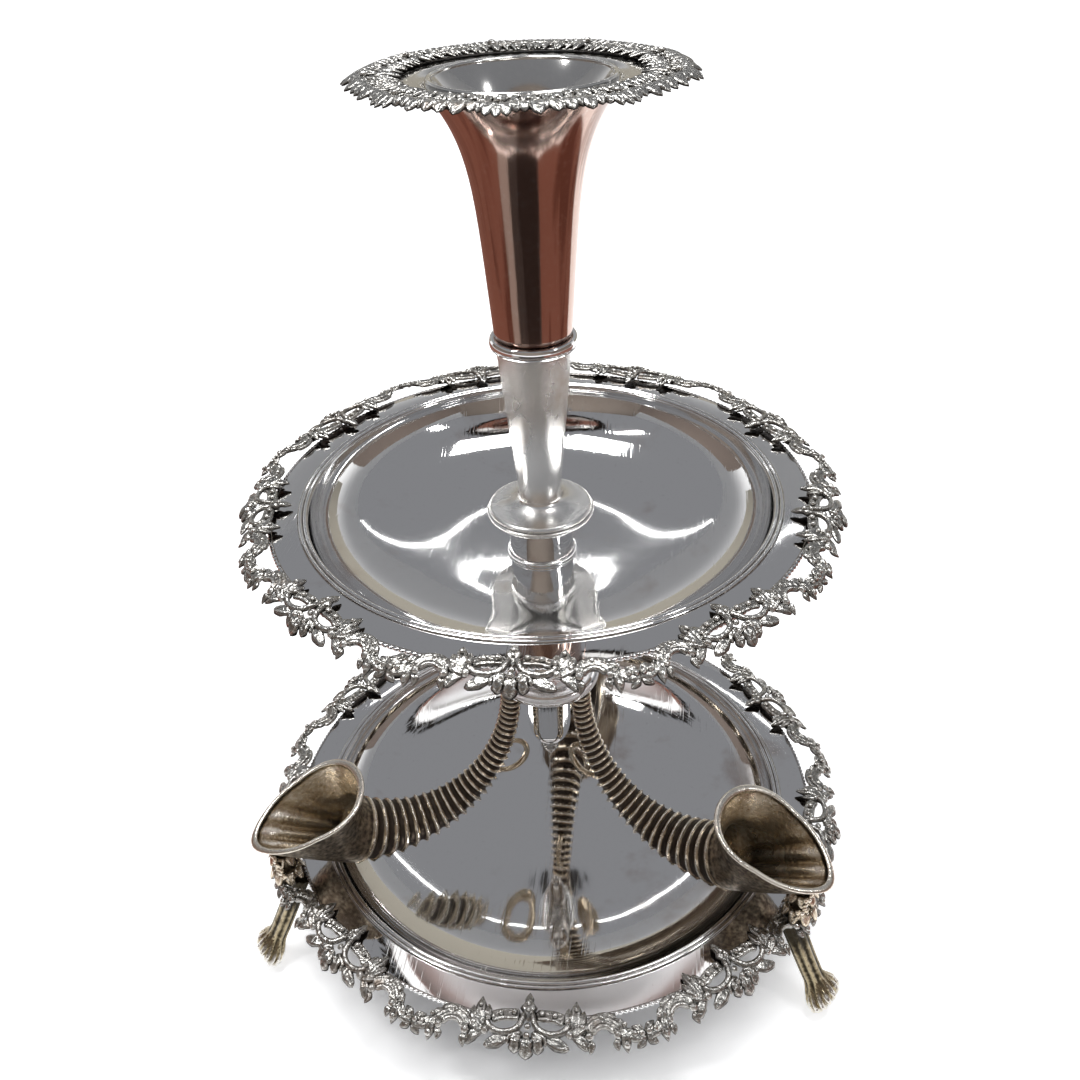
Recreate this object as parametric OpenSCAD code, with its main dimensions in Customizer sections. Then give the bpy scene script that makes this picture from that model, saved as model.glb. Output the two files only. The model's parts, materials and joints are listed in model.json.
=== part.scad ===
// Silver-plated epergne: two round dishes, three ribbed horns between them and a trumpet vase on top.
// Millimetres, +Z up. The feet stand on z = 0 and the dishes turn about the Z axis.
// One horn and one foot lie along +Y, the others a third of a turn to either side.

/* [Lower dish] */
// Thickness of the sheet that both dishes are spun from
sheet_t = 1.2; // [0.9:0.1:1.8]
// Outer radius of the raised edge round the lower bowl
lower_edge_r = 131; // [120:1:142]
// Width of the lower dish's flat rim
lower_rim_w = 15.5; // [14:0.5:18]
// Height of the lower rim's top above the table
lower_rim_z = 58.5; // [54:0.5:66]
// Depth of the lower bowl below its rim
lower_depth = 30; // [24:1:36]

/* [Upper dish] */
// Outer radius of the raised edge round the upper bowl
upper_edge_r = 113; // [104:1:124]
// Width of the upper dish's flat rim
upper_rim_w = 13.5; // [12:0.5:16]
// Height of the upper rim's top above the table
upper_rim_z = 259.5; // [250:0.5:275]
// Depth of the upper bowl below its rim
upper_depth = 34.5; // [28:0.5:40]

/* [Bowl edge and borders] */
// Radius of each of the two beads round a bowl
bead_r = 1.1; // [0.8:0.1:1.4]
// Thickness of the pierced plate of a border casting
border_t = 2.4; // [1.8:0.1:3.2]

/* [Feet] */
// Radius of the circle that the toes stand on
toe_r = 181; // [172:1:190]
// Width of a leg at its ankle
ankle_w = 10; // [8:0.5:14]
// Width of a shell toe
toe_w = 21; // [17:0.5:26]

/* [Horns] */
// Number of ribs along a horn
horn_ribs = 30; // [22:1:34]
// Height of a rib above the furrow beside it
rib_h = 1.1; // [0.6:0.1:1.6]
// Thickness of a horn's wall
horn_wall = 2; // [1.5:0.1:2.6]
// Diameter of a horn's tail at the hub
tail_d = 9.5; // [8:0.5:11]
// Diameter of a horn where the scoop begins
throat_d = 35; // [30:0.5:38]
// Width of a horn's scoop
scoop_w = 45; // [40:0.5:50]
// Distance of the scoop's back edge inside the dish's rim
scoop_back = 39.5; // [36:0.5:43]
// Distance of the scoop's tip outside the dish's rim
scoop_tip = 21.5; // [17:0.5:25]
// Wire thickness of the tendril under a horn
tendril_d = 2.8; // [2:0.2:3.4]

/* [Hub and stem] */
// Height of the hub plate's underside above the table
hub_z = 143; // [136:1:150]
// Radius of the hub plate
hub_r = 27.5; // [27:0.5:32]
// Thickness of the hub plate
hub_t = 6; // [4:0.5:9]
// Radius of the circle that the horn tails stand on
tail_r = 21.5; // [20:0.5:22]
// Radius of the pendant cup under the hub
cup_r = 11.8; // [10:0.2:12.4]
// Height of the pendant cup with its neck
cup_h = 46; // [40:1:50]
// Radius of the tie rod through hub, stem and boss
rod_r = 3; // [2.5:0.1:3.5]
// Thread pitch of the tie rod
rod_pitch = 1; // [0.75:0.25:1.25]
// Turns that the finial is unscrewed by
finial_turns = 4; // [2:1:5]
// Radius of the knop at the middle of the stem
knop_r = 14; // [11:0.5:18]
// Radius of the stem's flange under the upper dish
stem_top_r = 30; // [24:0.5:34]

/* [Vase holder] */
// Radius of the boss on the upper dish
boss_r = 15.4; // [13:0.2:18]
// Height of the boss
boss_h = 22.5; // [16:0.5:28]
// Radius of the holder's foot
holder_foot_r = 25.7; // [22:0.1:29]
// Radius of the holder at its neck
holder_neck_r = 9.7; // [8.5:0.1:11]
// Radius of the holder at its mouth
holder_mouth_r = 16.6; // [15:0.1:19]
// Height of the holder with its foot
holder_h = 90; // [75:1:105]
// Wall of the holder
holder_wall = 1; // [0.8:0.1:1.4]
// Outer radius of the rolled ring round the holder's mouth
holder_ring_r = 19.3; // [18.6:0.1:21.5]

/* [Trumpet vase] */
// Height of the vase above its holder
vase_h = 105.5; // [90:0.5:120]
// Length of the sleeve that stands in the holder
sleeve_h = 62; // [45:1:68]
// Wall of the vase
vase_wall = 1; // [0.8:0.1:1.4]
// Radius of the vase just above its holder
vase_base_r = 16.9; // [16.2:0.1:18]
// Straight widening of the vase up to its mouth
vase_taper = 7.2; // [5:0.1:9]
// Extra widening of the flare at the mouth
vase_flare = 15; // [11:0.5:18]
// Radius of the flat flange round the mouth
flange_r = 54.5; // [52:0.5:58]
// Width of the part of the flange that the border covers
flange_w = 11.5; // [10:0.5:13]

/* [Hidden] */
$fn = 96;

// Clearance round the tie rod, in the holder, and between faces of pieces that turn on each other
rod_fit = 0.2;
thread_fit = 0.08;
sleeve_fit = 0.3;
ring_fit = 0.05;
seat_gap = 0.05;
solder_gap = 0.25;

// Thirds of a turn: back, left and right
sides3 = ["back", "left", "right"];
side_turn = [90, 210, 330];

// Dishes
lower_rim_r = lower_edge_r + lower_rim_w;
upper_rim_r = upper_edge_r + upper_rim_w;
lower_under_z = lower_rim_z - sheet_t;
upper_floor_z = upper_rim_z - upper_depth;
flat_share = 0.3;
bowl_power = 2.6;
bowl_root = 1.9;
bowl_steps = 16;
bead_steps = 8;

// Borders: nine castings a ring, one pendant flower in the middle of each.
// The motif is drawn in units, so many across a rim's lap and so many along one pitch
border_count = 9;
border_pitch = 360 / border_count;
border_start = -90;
lap_units = 14;
flange_units = 16;
pitch_units = 102;
motif_edge = 1.5;
joint_gap = 0.05;
lower_scale = (lower_rim_w - motif_edge) / lap_units;
upper_scale = (upper_rim_w - motif_edge) / lap_units;
flange_scale = flange_w / flange_units;

// Horn centreline in the upright plane of the horn, as radius and height
throat_in = 30.5;
throat_up = 18.5;
tail_drop = 63;
bend_in = 44;
bend_down = 25;
scoop_back_up = 54.5;
scoop_tip_up = 32.5;
horn_path = [
    [tail_r, hub_z],
    [tail_r, hub_z - tail_drop],
    [lower_rim_r - throat_in - bend_in, lower_rim_z + throat_up - bend_down],
    [lower_rim_r - throat_in, lower_rim_z + throat_up]
];
horn_sides = 16;
rib_growth = 1.1;
horn_widen = 1.7;
scoop_rings = 7;
scoop_draw = 0.35;
egg = 0.35;
bore_rings = 8;
bore_end = 0.34;
lip_rise = 1;

// Hub
cup_z = hub_z - cup_h;
cup_flange_r = 14;
cup_flange_h = 3;
cup_neck_r = 9.5;
cup_neck_h = 7;
washer_r = 6.2;
washer_h = 1.5;
finial_r = 5;
thread_left = 3.5;
thread_end = 1.5;
finial_bore = finial_turns * rod_pitch + thread_left + thread_end;
finial_tip = 3;
finial_h = finial_bore + finial_tip;
washer_top = cup_z - seat_gap;
finial_top = washer_top - washer_h - seat_gap;
rod_bottom = finial_top - finial_bore + thread_end;
thread_r = rod_r - 0.8;

// Stem and holder
stem_z = hub_z + hub_t;
stem_top_z = upper_floor_z - sheet_t;
stem_h = stem_top_z - stem_z;
stem_foot_r = 21;
stem_neck_r = 7;
boss_top_z = upper_floor_z + boss_h;
holder_foot_h = 4.6;
holder_dome_h = 9.5;
holder_socket_h = 19;
mouth_z = boss_top_z + holder_h;
mouth_h = 5.2;
rod_top = boss_top_z + holder_socket_h - 4;
sleeve_top_r = holder_mouth_r - holder_wall - sleeve_fit;
socket_slope = (holder_mouth_r - holder_neck_r) / (holder_h - mouth_h - holder_dome_h);

// Vase
flare_power = 6;
flare_steps = 18;
flange_top = mouth_z + vase_h - border_t;
flange_rise = 1.6;
border_z = flange_top;

// Feet
leg_rings = 18;
leg_sides = 14;
leg_bury = 9;
leg_lap = 3.5;
knee_out = 16.5;
knee_down = 7;
ankle_in = 16;
ankle_up = 8;
leg_flare = 4;
leg_high = 0.9;
lobe_share = 0.09;
toe_high = 0.72;
toe_z = 0.11 * toe_w;

// Curves
function unit(v) = v / norm(v);
function quarter_turn(v) = [-v[1], v[0]];
function bezier(p, t) =
    pow(1 - t, 3) * p[0] + 3 * t * pow(1 - t, 2) * p[1] + 3 * t * t * (1 - t) * p[2] + pow(t, 3) * p[3];
function bezier_way(p, t) =
    unit(pow(1 - t, 2) * (p[1] - p[0]) + 2 * t * (1 - t) * (p[2] - p[1]) + t * t * (p[3] - p[2]));

// Triangles between rings of equal count, in order from one closed end to the other
function tube_faces(rings, n) = concat(
    [for (j = [0 : rings - 2], i = [0 : n - 1]) [j * n + i, (j + 1) * n + (i + 1) % n, j * n + (i + 1) % n]],
    [for (j = [0 : rings - 2], i = [0 : n - 1]) [j * n + i, (j + 1) * n + i, (j + 1) * n + (i + 1) % n]],
    [for (i = [1 : n - 2]) [0, i, i + 1]],
    [for (i = [1 : n - 2]) [(rings - 1) * n, (rings - 1) * n + i + 1, (rings - 1) * n + i]]
);

// Dish profile: height of the bowl's surface below the rim at a share of the bowl's radius
function bowl_drop(x) =
    x <= flat_share ? 1 : pow(1 - pow((x - flat_share) / (1 - flat_share), bowl_power), 1 / bowl_root);
function bowl_curve(r, depth) = [for (i = [0 : bowl_steps])
    let (x = i == 0 ? 0 : flat_share + (1 - flat_share) * sin(90 * (i - 1) / (bowl_steps - 1)))
    [r * x, -depth * bowl_drop(x)]];
function half_round(c, r) = [for (i = [0 : bead_steps]) let (a = 180 - 180 * i / bead_steps)
    [c + r * cos(a), r * sin(a)]];

// A spun dish with two beads round its bowl and a flat rim
module spun_dish(edge_r, rim_r, depth, z) {
    bowl_r = edge_r - 4.2 * bead_r;
    top = concat(
        bowl_curve(bowl_r, depth),
        half_round(edge_r - 3.1 * bead_r, bead_r),
        half_round(edge_r - bead_r, bead_r),
        [[rim_r, 0]]
    );
    under = bowl_curve(bowl_r + sheet_t, depth);
    back = [for (i = [len(under) - 1 : -1 : 0]) [under[i][0], under[i][1] - sheet_t]];
    translate([0, 0, z]) rotate_extrude() polygon(concat(top, [[rim_r, -sheet_t]], back));
}

module lower_dish() color("silver") spun_dish(lower_edge_r, lower_rim_r, lower_depth, lower_rim_z);

// The upper dish has the tie rod through its floor
module upper_dish() color("silver")
    difference() {
        spun_dish(upper_edge_r, upper_rim_r, upper_depth, upper_rim_z);
        translate([0, 0, upper_floor_z - 2 * sheet_t]) cylinder(r = rod_r + rod_fit, h = 4 * sheet_t);
    }

// An almond of two arcs along X
module almond(length, width) {
    r = (length * length + width * width) / (4 * width);
    intersection() {
        translate([0, width / 2 - r]) circle(r = r);
        translate([0, r - width / 2]) circle(r = r);
    }
}

// A shape on the border: units round the rim from the flower and a distance outside the rim's edge
module on_rim(edge_r, along, out) {
    rotate(along * border_pitch / pitch_units) translate([edge_r + out, 0]) children();
}

// Length of a unit along a rim, and of a unit of the motif's small shapes
function along_unit(edge_r) = edge_r * border_pitch * PI / 180 / pitch_units;
function small_unit(edge_r, s) = min(s, 1.15 * along_unit(edge_r));

// The wedge of a ring that one casting may fill
module pitch_wedge(edge_r) {
    far = 2 * edge_r;
    a = border_pitch / 2 - joint_gap;
    polygon([[0, 0], far * [cos(a), -sin(a)], far * [cos(a), sin(a)]]);
}

// One casting of a border, seen from above, with its flower along +X
module border_outline(edge_r, s) {
    k = along_unit(edge_r);
    m = small_unit(edge_r, s);
    difference() {
        union() {
            on_rim(edge_r, 0, 8 * s) circle(r = 4.6 * m);
            on_rim(edge_r, 0, 12.6 * s) circle(r = 3.4 * m);
            on_rim(edge_r, 0, -3.5 * s) almond(21 * s, 8 * m);
            for (f = [-1, 1]) {
                on_rim(edge_r, 0, 11 * s) translate([0, f * 4.2 * m]) circle(r = 3 * m);
                on_rim(edge_r, 0, 6 * s) translate([0, f * 5 * m]) circle(r = 2.9 * m);
                on_rim(edge_r, f * 13.3, 2 * s) rotate(90) almond(18 * k, 9.6 * s);
                on_rim(edge_r, f * 16.8, 7.4 * s) rotate(f * 50) almond(12 * m, 4.6 * m);
                on_rim(edge_r, f * 23.7, -0.8 * s) circle(r = 4.3 * m);
                on_rim(edge_r, f * 24.5, -6.5 * s) almond(10 * s, 5.4 * m);
                on_rim(edge_r, f * 29, 1.5 * s) rotate(f * 55) almond(17 * m, 6 * m);
                on_rim(edge_r, f * 34.2, 9 * s - 2.6 * m) scroll_arch(m);
                intersection() {
                    on_rim(edge_r, f * 43.7, 12.8 * s) circle(r = 3.2 * m);
                    pitch_wedge(edge_r);
                }
                clasp_bar(edge_r, s, f);
            }
        }
        for (f = [-1, 1]) on_rim(edge_r, f * 13.3, 2 * s) rotate(90) almond(11.6 * k, 4.6 * s);
    }
}

// A C-scroll that opens away from the dish
module scroll_arch(m) {
    difference() {
        circle(r = 6.8 * m);
        circle(r = 4.2 * m);
        translate([3.6 * m, -7 * m]) square([4 * m, 14 * m]);
    }
}

// The bar that joins one casting to the next
module clasp_bar(edge_r, s, f) {
    a0 = 39.3 * border_pitch / pitch_units;
    a1 = 0.5 * border_pitch - joint_gap;
    far = 2 * edge_r;
    intersection() {
        difference() {
            circle(r = edge_r + 12 * s);
            circle(r = edge_r + 9 * s);
        }
        polygon([[0, 0], far * [cos(a0), f * sin(a0)], far * [cos(a1), f * sin(a1)]]);
    }
}

module border_casting(edge_r, s, z, index) {
    m = small_unit(edge_r, s);
    rotate(border_start + (index - 1) * border_pitch) translate([0, 0, z]) {
        linear_extrude(border_t) border_outline(edge_r, s);
        on_rim(edge_r, 0, 8 * s) dome(3 * m);
        on_rim(edge_r, 0, -3 * s) dome(2.4 * m);
        for (f = [-1, 1]) on_rim(edge_r, f * 23.7, -0.8 * s) dome(2.6 * m);
    }
}

// A raised boss on a border casting, clear of the casting's underside
module dome(r) translate([0, 0, max(border_t, r)]) sphere(r = r);

module lower_border(i) color("gainsboro") border_casting(lower_rim_r, lower_scale, lower_rim_z, i);
module upper_border(i) color("gainsboro") border_casting(upper_rim_r, upper_scale, upper_rim_z, i);
module vase_border(i) color("gainsboro") border_casting(flange_r, flange_scale, border_z, i);

// Horn radius, rib positions and rings
function horn_radius(t) = tail_d / 2 + (throat_d - tail_d) / 2 * pow(t, horn_widen);
function rib_place(k) = (exp(rib_growth * k / (2 * horn_ribs)) - 1) / (exp(rib_growth) - 1);
function horn_ring(t, r) = let (c = bezier(horn_path, t), n = quarter_turn(bezier_way(horn_path, t)))
    [for (i = [0 : horn_sides - 1]) let (a = 360 * i / horn_sides)
        [c[0] + r * cos(a) * n[0], r * sin(a), c[1] + r * cos(a) * n[1]]];

// The scoop's egg-shaped edge, sloping down from its back to its tip, drawn in by an inset
scoop_back_r = lower_rim_r - scoop_back;
scoop_tip_r = lower_rim_r + scoop_tip;
function scoop_edge(inset, rise) = [for (i = [0 : horn_sides - 1])
    let (a = 360 * i / horn_sides, u = 0.5 - cos(a) * (0.5 - inset / scoop_w))
    [scoop_back_r + (scoop_tip_r - scoop_back_r) * u,
     (scoop_w / 2 - inset) * sin(a) * (1 + egg * cos(a)),
     lower_rim_z + scoop_back_up + (scoop_tip_up - scoop_back_up) * u + rise]];
function scoop_ring(v, from, edge) = let (way = bezier_way(horn_path, 1))
    [for (i = [0 : horn_sides - 1]) let (
        draw = scoop_draw * norm(edge[i] - from[i]),
        pull = from[i] + draw * [way[0], 0, way[1]])
        pow(1 - v, 2) * from[i] + 2 * v * (1 - v) * pull + v * v * edge[i]];

// A ribbed horn, hollow from its scoop to the middle of its curve
module horn(turn) color("dimgray") {
    throat = horn_ring(1, throat_d / 2);
    bore = horn_ring(1, throat_d / 2 - horn_wall);
    rings = concat(
        [horn_ring(0, tail_d / 2)],
        [for (k = [1 : 2 * horn_ribs - 1]) let (t = rib_place(k))
            horn_ring(t, horn_radius(t) + (k % 2 == 0 ? -rib_h : rib_h) / 2)],
        [throat],
        [for (j = [1 : scoop_rings]) scoop_ring(j / scoop_rings, throat, scoop_edge(0, 0))],
        [scoop_edge(horn_wall / 2, lip_rise)],
        [for (j = [scoop_rings : -1 : 1]) scoop_ring(j / scoop_rings, bore, scoop_edge(horn_wall, 0))],
        [for (j = [bore_rings : -1 : 0]) let (t = bore_end + (1 - bore_end) * j / bore_rings)
            horn_ring(t, horn_radius(t) - horn_wall)]
    );
    rotate(turn)
        polyhedron(
            points = [for (r = rings, p = r) p],
            faces = tube_faces(len(rings), horn_sides)
        );
}

// A wire loop under the horn's tail, both ends against the horn
tendril_at = [0.235, 0.36];
tendril_bulge = 3.2;
function tendril_end(t) = bezier(horn_path, t)
    - (horn_radius(t) + rib_h / 2 + solder_gap) * quarter_turn(bezier_way(horn_path, t));
module tendril(turn) color("gray") {
    a = tendril_end(tendril_at[0]);
    b = tendril_end(tendril_at[1]);
    chord = b - a;
    c = (a + b) / 2 - tendril_bulge * quarter_turn(unit(chord));
    r = norm(a - c);
    from = atan2(b[1] - c[1], b[0] - c[0]);
    to = atan2(a[1] - c[1], a[0] - c[0]);
    sweep = (from - to + 720) % 360;
    rotate(turn) translate([c[0], 0, c[1]]) rotate([90, 0, 0]) rotate(to)
        rotate_extrude(angle = sweep) translate([r, 0]) circle(d = tendril_d);
}

// Height of the scoop's keel at a radius
keel_from = bezier(horn_path, 1) - throat_d / 2 * quarter_turn(bezier_way(horn_path, 1));
keel_to = [scoop_tip_r, lower_rim_z + scoop_tip_up];
keel_pull = keel_from + scoop_draw * norm(keel_to - keel_from) * bezier_way(horn_path, 1);
function keel_share(r) = let (
    a = keel_from[0] - 2 * keel_pull[0] + keel_to[0],
    b = 2 * (keel_pull[0] - keel_from[0]),
    c = keel_from[0] - r)
    (-b + sqrt(b * b - 4 * a * c)) / (2 * a);
function keel_z(r) = let (v = keel_share(r))
    pow(1 - v, 2) * keel_from[1] + 2 * v * (1 - v) * keel_pull[1] + v * v * keel_to[1];

// A flower spray that stands on the border and carries the scoop
spray_r = lower_rim_r + 10.5 * lower_scale;
spray_stem_r = 2.2;
spray_foot_r = 5.5;
bud_r = 4.6;
petal_r = 3.2;
petal_out = 6;
spray_leaf = [13, 5, 2];
spray_leaf_at = [1, 2, 4];
module flower_spray(turn) color("dimgray") {
    z0 = lower_rim_z + border_t;
    h = keel_z(spray_r - spray_stem_r) - solder_gap - z0;
    rotate(turn) translate([spray_r, 0, z0]) {
        cylinder(r = spray_stem_r, h = h);
        cylinder(r1 = spray_foot_r, r2 = spray_stem_r, h = 0.3 * h);
        translate([0, 0, 0.55 * h]) sphere(r = bud_r);
        for (i = [0 : 4])
            rotate(72 * i) translate([petal_out, 0, 0.45 * h]) sphere(r = petal_r);
        for (f = [-1, 1])
            translate([spray_leaf_at[0], f * spray_leaf_at[1], 0.2 * h])
                rotate([f * -40, 0, 0]) translate([0, 0, spray_leaf_at[2]])
                    rotate([90, 0, 90]) linear_extrude(spray_leaf[2], center = true)
                        rotate(90) almond(spray_leaf[0], spray_leaf[1]);
    }
}

// A cast leg with a shell toe, flat under the rim and flat on the table
leg_path = [
    [lower_rim_r - leg_lap, lower_under_z + leg_bury],
    [lower_rim_r + knee_out, lower_under_z - knee_down],
    [toe_r - ankle_in, toe_z + ankle_up],
    [toe_r, toe_z]
];
function leg_swell(t) = t < 0.55 ? 0 : pow(sin(90 * min(1, (t - 0.55) / 0.35)), 2);
function leg_nose(t) = t < 0.9 ? 1 : sqrt(1 - 0.9 * pow((t - 0.9) / 0.1, 2));
function leg_ring(t) = let (
    c = bezier(leg_path, t),
    n = quarter_turn(bezier_way(leg_path, t)),
    w = (ankle_w + (toe_w - ankle_w) * leg_swell(t) + leg_flare * (1 - t) * (1 - t)) / 2 * leg_nose(t),
    h = (ankle_w * leg_high + (toe_w * toe_high - ankle_w * leg_high) * leg_swell(t)) / 2 * leg_nose(t))
    [for (i = [0 : leg_sides - 1]) let (
        a = 360 * i / leg_sides,
        f = 1 + lobe_share * leg_swell(t) * (i % 2 == 0 ? 1 : -1))
        [c[0] + h * f * cos(a) * n[0], w * f * sin(a), c[1] + h * f * cos(a) * n[1]]];
module foot(turn) color("darkkhaki") {
    rings = [for (j = [0 : leg_rings]) leg_ring(j / leg_rings)];
    rotate(turn)
        intersection() {
            polyhedron(
                points = [for (r = rings, p = r) p],
                faces = tube_faces(len(rings), leg_sides)
            );
            translate([lower_edge_r - 20, -toe_w, 0]) cube([toe_r, 2 * toe_w, lower_under_z]);
        }
}

// A turned piece round the tie rod: profile points of radius and height, with the rod's bore
module turned(points, bore_r) {
    z = [for (p = points) p[1]];
    difference() {
        rotate_extrude() polygon(points);
        translate([0, 0, min(z) - 1]) cylinder(r = bore_r, h = max(z) - min(z) + 2);
    }
}

module hub_plate() color("gray") translate([0, 0, hub_z]) turned([
    [0, 0], [hub_r - 0.2 * hub_t, 0], [hub_r, 0.2 * hub_t], [hub_r, 0.6 * hub_t],
    [hub_r - hub_t / 3, 0.73 * hub_t], [hub_r - hub_t / 2, hub_t], [0, hub_t]
], rod_r + rod_fit);

// The cup's round bottom is a quarter ellipse
cup_round = 15;
module hub_cup() color("silver") translate([0, 0, cup_z]) turned(concat(
    [[0, 0]],
    [for (i = [0 : 8]) let (a = 90 * i / 8)
        [washer_r + (cup_r - washer_r) * sin(a), cup_round * (1 - cos(a))]],
    [[cup_r, cup_h - cup_neck_h - cup_flange_h], [cup_flange_r, cup_h - cup_neck_h - cup_flange_h],
     [cup_flange_r, cup_h - cup_neck_h], [cup_neck_r, cup_h - cup_neck_h], [cup_neck_r, cup_h], [0, cup_h]]
), rod_r + rod_fit);

module finial_washer() color("gray") translate([0, 0, washer_top - washer_h])
    turned([[0, 0], [washer_r, 0], [washer_r, washer_h], [0, washer_h]], rod_r + rod_fit);

// The stepped knob that screws on the tie rod, with a round tip
module finial() color("gray") translate([0, 0, finial_top - finial_h])
    difference() {
        union() {
            rotate_extrude() polygon([
                [0, finial_h], [finial_r, finial_h], [finial_r, finial_h - 2.5], [finial_r - 1, finial_h - 3.5],
                [finial_r - 0.6, finial_h - 5.5], [thread_r + 1.3, finial_tip + 1], [thread_r, finial_tip - 0.6],
                [0, finial_tip - 0.6]
            ]);
            translate([0, 0, finial_tip - 1]) sphere(r = finial_tip - 1);
        }
        translate([0, 0, finial_h - finial_bore]) cylinder(r = thread_r + thread_fit, h = finial_bore + 1);
    }

// The rod's lower end is turned down to the finial's thread
module tie_rod() color("gray") {
    translate([0, 0, cup_z + 2]) cylinder(r = rod_r, h = rod_top - cup_z - 2);
    translate([0, 0, rod_bottom]) cylinder(r = thread_r, h = cup_z + 3 - rod_bottom);
}

// A baluster: foot, slender neck, knop, neck and a flange under the dish
module stem() color("silver") translate([0, 0, stem_z]) turned(concat(
    [[0, 0], [stem_foot_r, 0], [stem_foot_r, 2], [stem_foot_r - 2, 3]],
    [for (i = [0 : 8]) let (a = 90 * i / 8)
        [stem_neck_r + (stem_foot_r - 3 - stem_neck_r) * (1 - sin(a)), 3.5 + 0.34 * stem_h * (1 - cos(a))]],
    [for (i = [0 : 12]) let (a = 180 * i / 12)
        [stem_neck_r + 0.5 + (knop_r - stem_neck_r - 0.5) * sin(a), (0.42 + 0.16 * i / 12) * stem_h]],
    [for (i = [0 : 8]) let (a = 90 * i / 8)
        [stem_neck_r + (stem_top_r - 2 - stem_neck_r) * (1 - cos(a)), 0.62 * stem_h + (0.38 * stem_h - 3) * sin(a)]],
    [[stem_top_r, stem_h - 2], [stem_top_r, stem_h], [0, stem_h]]
), rod_r + rod_fit);

// The boss is a plain drum with a bead at its foot
module dish_boss() color("silver") translate([0, 0, upper_floor_z]) turned([
    [0, 0], [boss_r + 1.4, 0], [boss_r + 1.4, 1.6], [boss_r, 2.4], [boss_r, boss_h], [0, boss_h]
], rod_r + rod_fit);

// The holder: a double-stepped foot, a domed shoulder and a long cone
module vase_holder() color("lightgray") translate([0, 0, boss_top_z])
    difference() {
        rotate_extrude() polygon(concat(
            [[0, 0], [holder_foot_r - 0.8, 0], [holder_foot_r, 0.8], [holder_foot_r, 1.8],
             [holder_foot_r - 1.2, 2.3], [holder_foot_r - 0.8, 3.2], [holder_foot_r - 1.6, holder_foot_h]],
            [for (i = [1 : 8]) let (a = 90 * i / 8)
                [holder_neck_r + (holder_foot_r - 3 - holder_neck_r) * (1 - sin(a)),
                 holder_foot_h + (holder_dome_h - holder_foot_h) * (1 - cos(a))]],
            [[holder_mouth_r, holder_h - mouth_h], [holder_mouth_r, holder_h], [0, holder_h]]
        ));
        rotate_extrude() polygon([
            [0, holder_socket_h],
            [holder_neck_r - holder_wall + socket_slope * (holder_socket_h - holder_dome_h), holder_socket_h],
            [holder_mouth_r - holder_wall, holder_h - mouth_h],
            [holder_mouth_r - holder_wall, holder_h + 1],
            [0, holder_h + 1]
        ]);
        translate([0, 0, -1]) cylinder(r = rod_r + rod_fit, h = holder_socket_h + 2);
    }

// The rolled ring: two rounds side by side round the holder's mouth
module holder_ring() color("silver") translate([0, 0, mouth_z - mouth_h]) {
    inner = holder_mouth_r + ring_fit;
    w = (holder_ring_r - inner) / 2;
    rotate_extrude() polygon(concat(
        [[inner, 0]],
        [for (i = [0 : 10]) let (a = -90 + 180 * i / 10)
            [inner + w + w * cos(a), mouth_h / 2 + (mouth_h / 2) * sin(a)]],
        [[inner, mouth_h]]
    ));
}

// Outside of the trumpet at a share of the way from its seat to its mouth
trumpet_h = vase_h - border_t - flange_rise - vase_wall;
function trumpet_r(u) = vase_base_r + vase_taper * u + vase_flare * pow(u, flare_power);
function trumpet_share(i) = 1 - pow(1 - i / flare_steps, 1.6);
module trumpet_vase() color("rosybrown") {
    inside_r = sleeve_top_r - vase_wall;
    foot_r = sleeve_top_r - socket_slope * (sleeve_h - mouth_h);
    outside = [for (i = [0 : flare_steps]) let (u = trumpet_share(i)) [trumpet_r(u), trumpet_h * u]];
    inside = [for (i = [flare_steps : -1 : 1]) let (u = trumpet_share(i))
        [trumpet_r(u) - vase_wall, trumpet_h * u + vase_wall * pow(u, 3)]];
    translate([0, 0, mouth_z]) rotate_extrude() polygon(concat(
        [[0, -sleeve_h], [foot_r, -sleeve_h], [sleeve_top_r, -mouth_h], [sleeve_top_r, 0]],
        outside,
        [[flange_r - flange_w, trumpet_h + flange_rise], [flange_r, trumpet_h + flange_rise],
         [flange_r, trumpet_h + flange_rise + vase_wall],
         [flange_r - flange_w - 1, trumpet_h + flange_rise + vase_wall]],
        inside,
        [[inside_r, 0], [inside_r, -mouth_h], [foot_r - vase_wall, vase_wall - sleeve_h],
         [0, vase_wall - sleeve_h]]
    ));
}

lower_dish();
hub_plate();
hub_cup();
finial_washer();
finial();
tie_rod();
stem();
upper_dish();
dish_boss();
vase_holder();
holder_ring();
trumpet_vase();
for (i = [0 : 2]) {
    foot(side_turn[i]);
    flower_spray(side_turn[i]);
    horn(side_turn[i]);
    tendril(side_turn[i]);
}
for (i = [1 : border_count]) {
    lower_border(i);
    upper_border(i);
    vase_border(i);
}
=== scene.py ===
"""Looks of a silver-plated epergne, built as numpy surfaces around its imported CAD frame.

Shapes are worked out in millimetres, +Z up, in the CAD's own frame, and become metres when a mesh
is made. Each visible CAD node is replaced by a finer piece of the same place and size.
"""

import json
import logging
import math
from collections.abc import Callable, Sequence
from dataclasses import dataclass
from enum import Enum
from typing import NamedTuple

import bpy
import numpy as np
from mathutils import Matrix, Vector
from numpy.typing import NDArray


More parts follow.
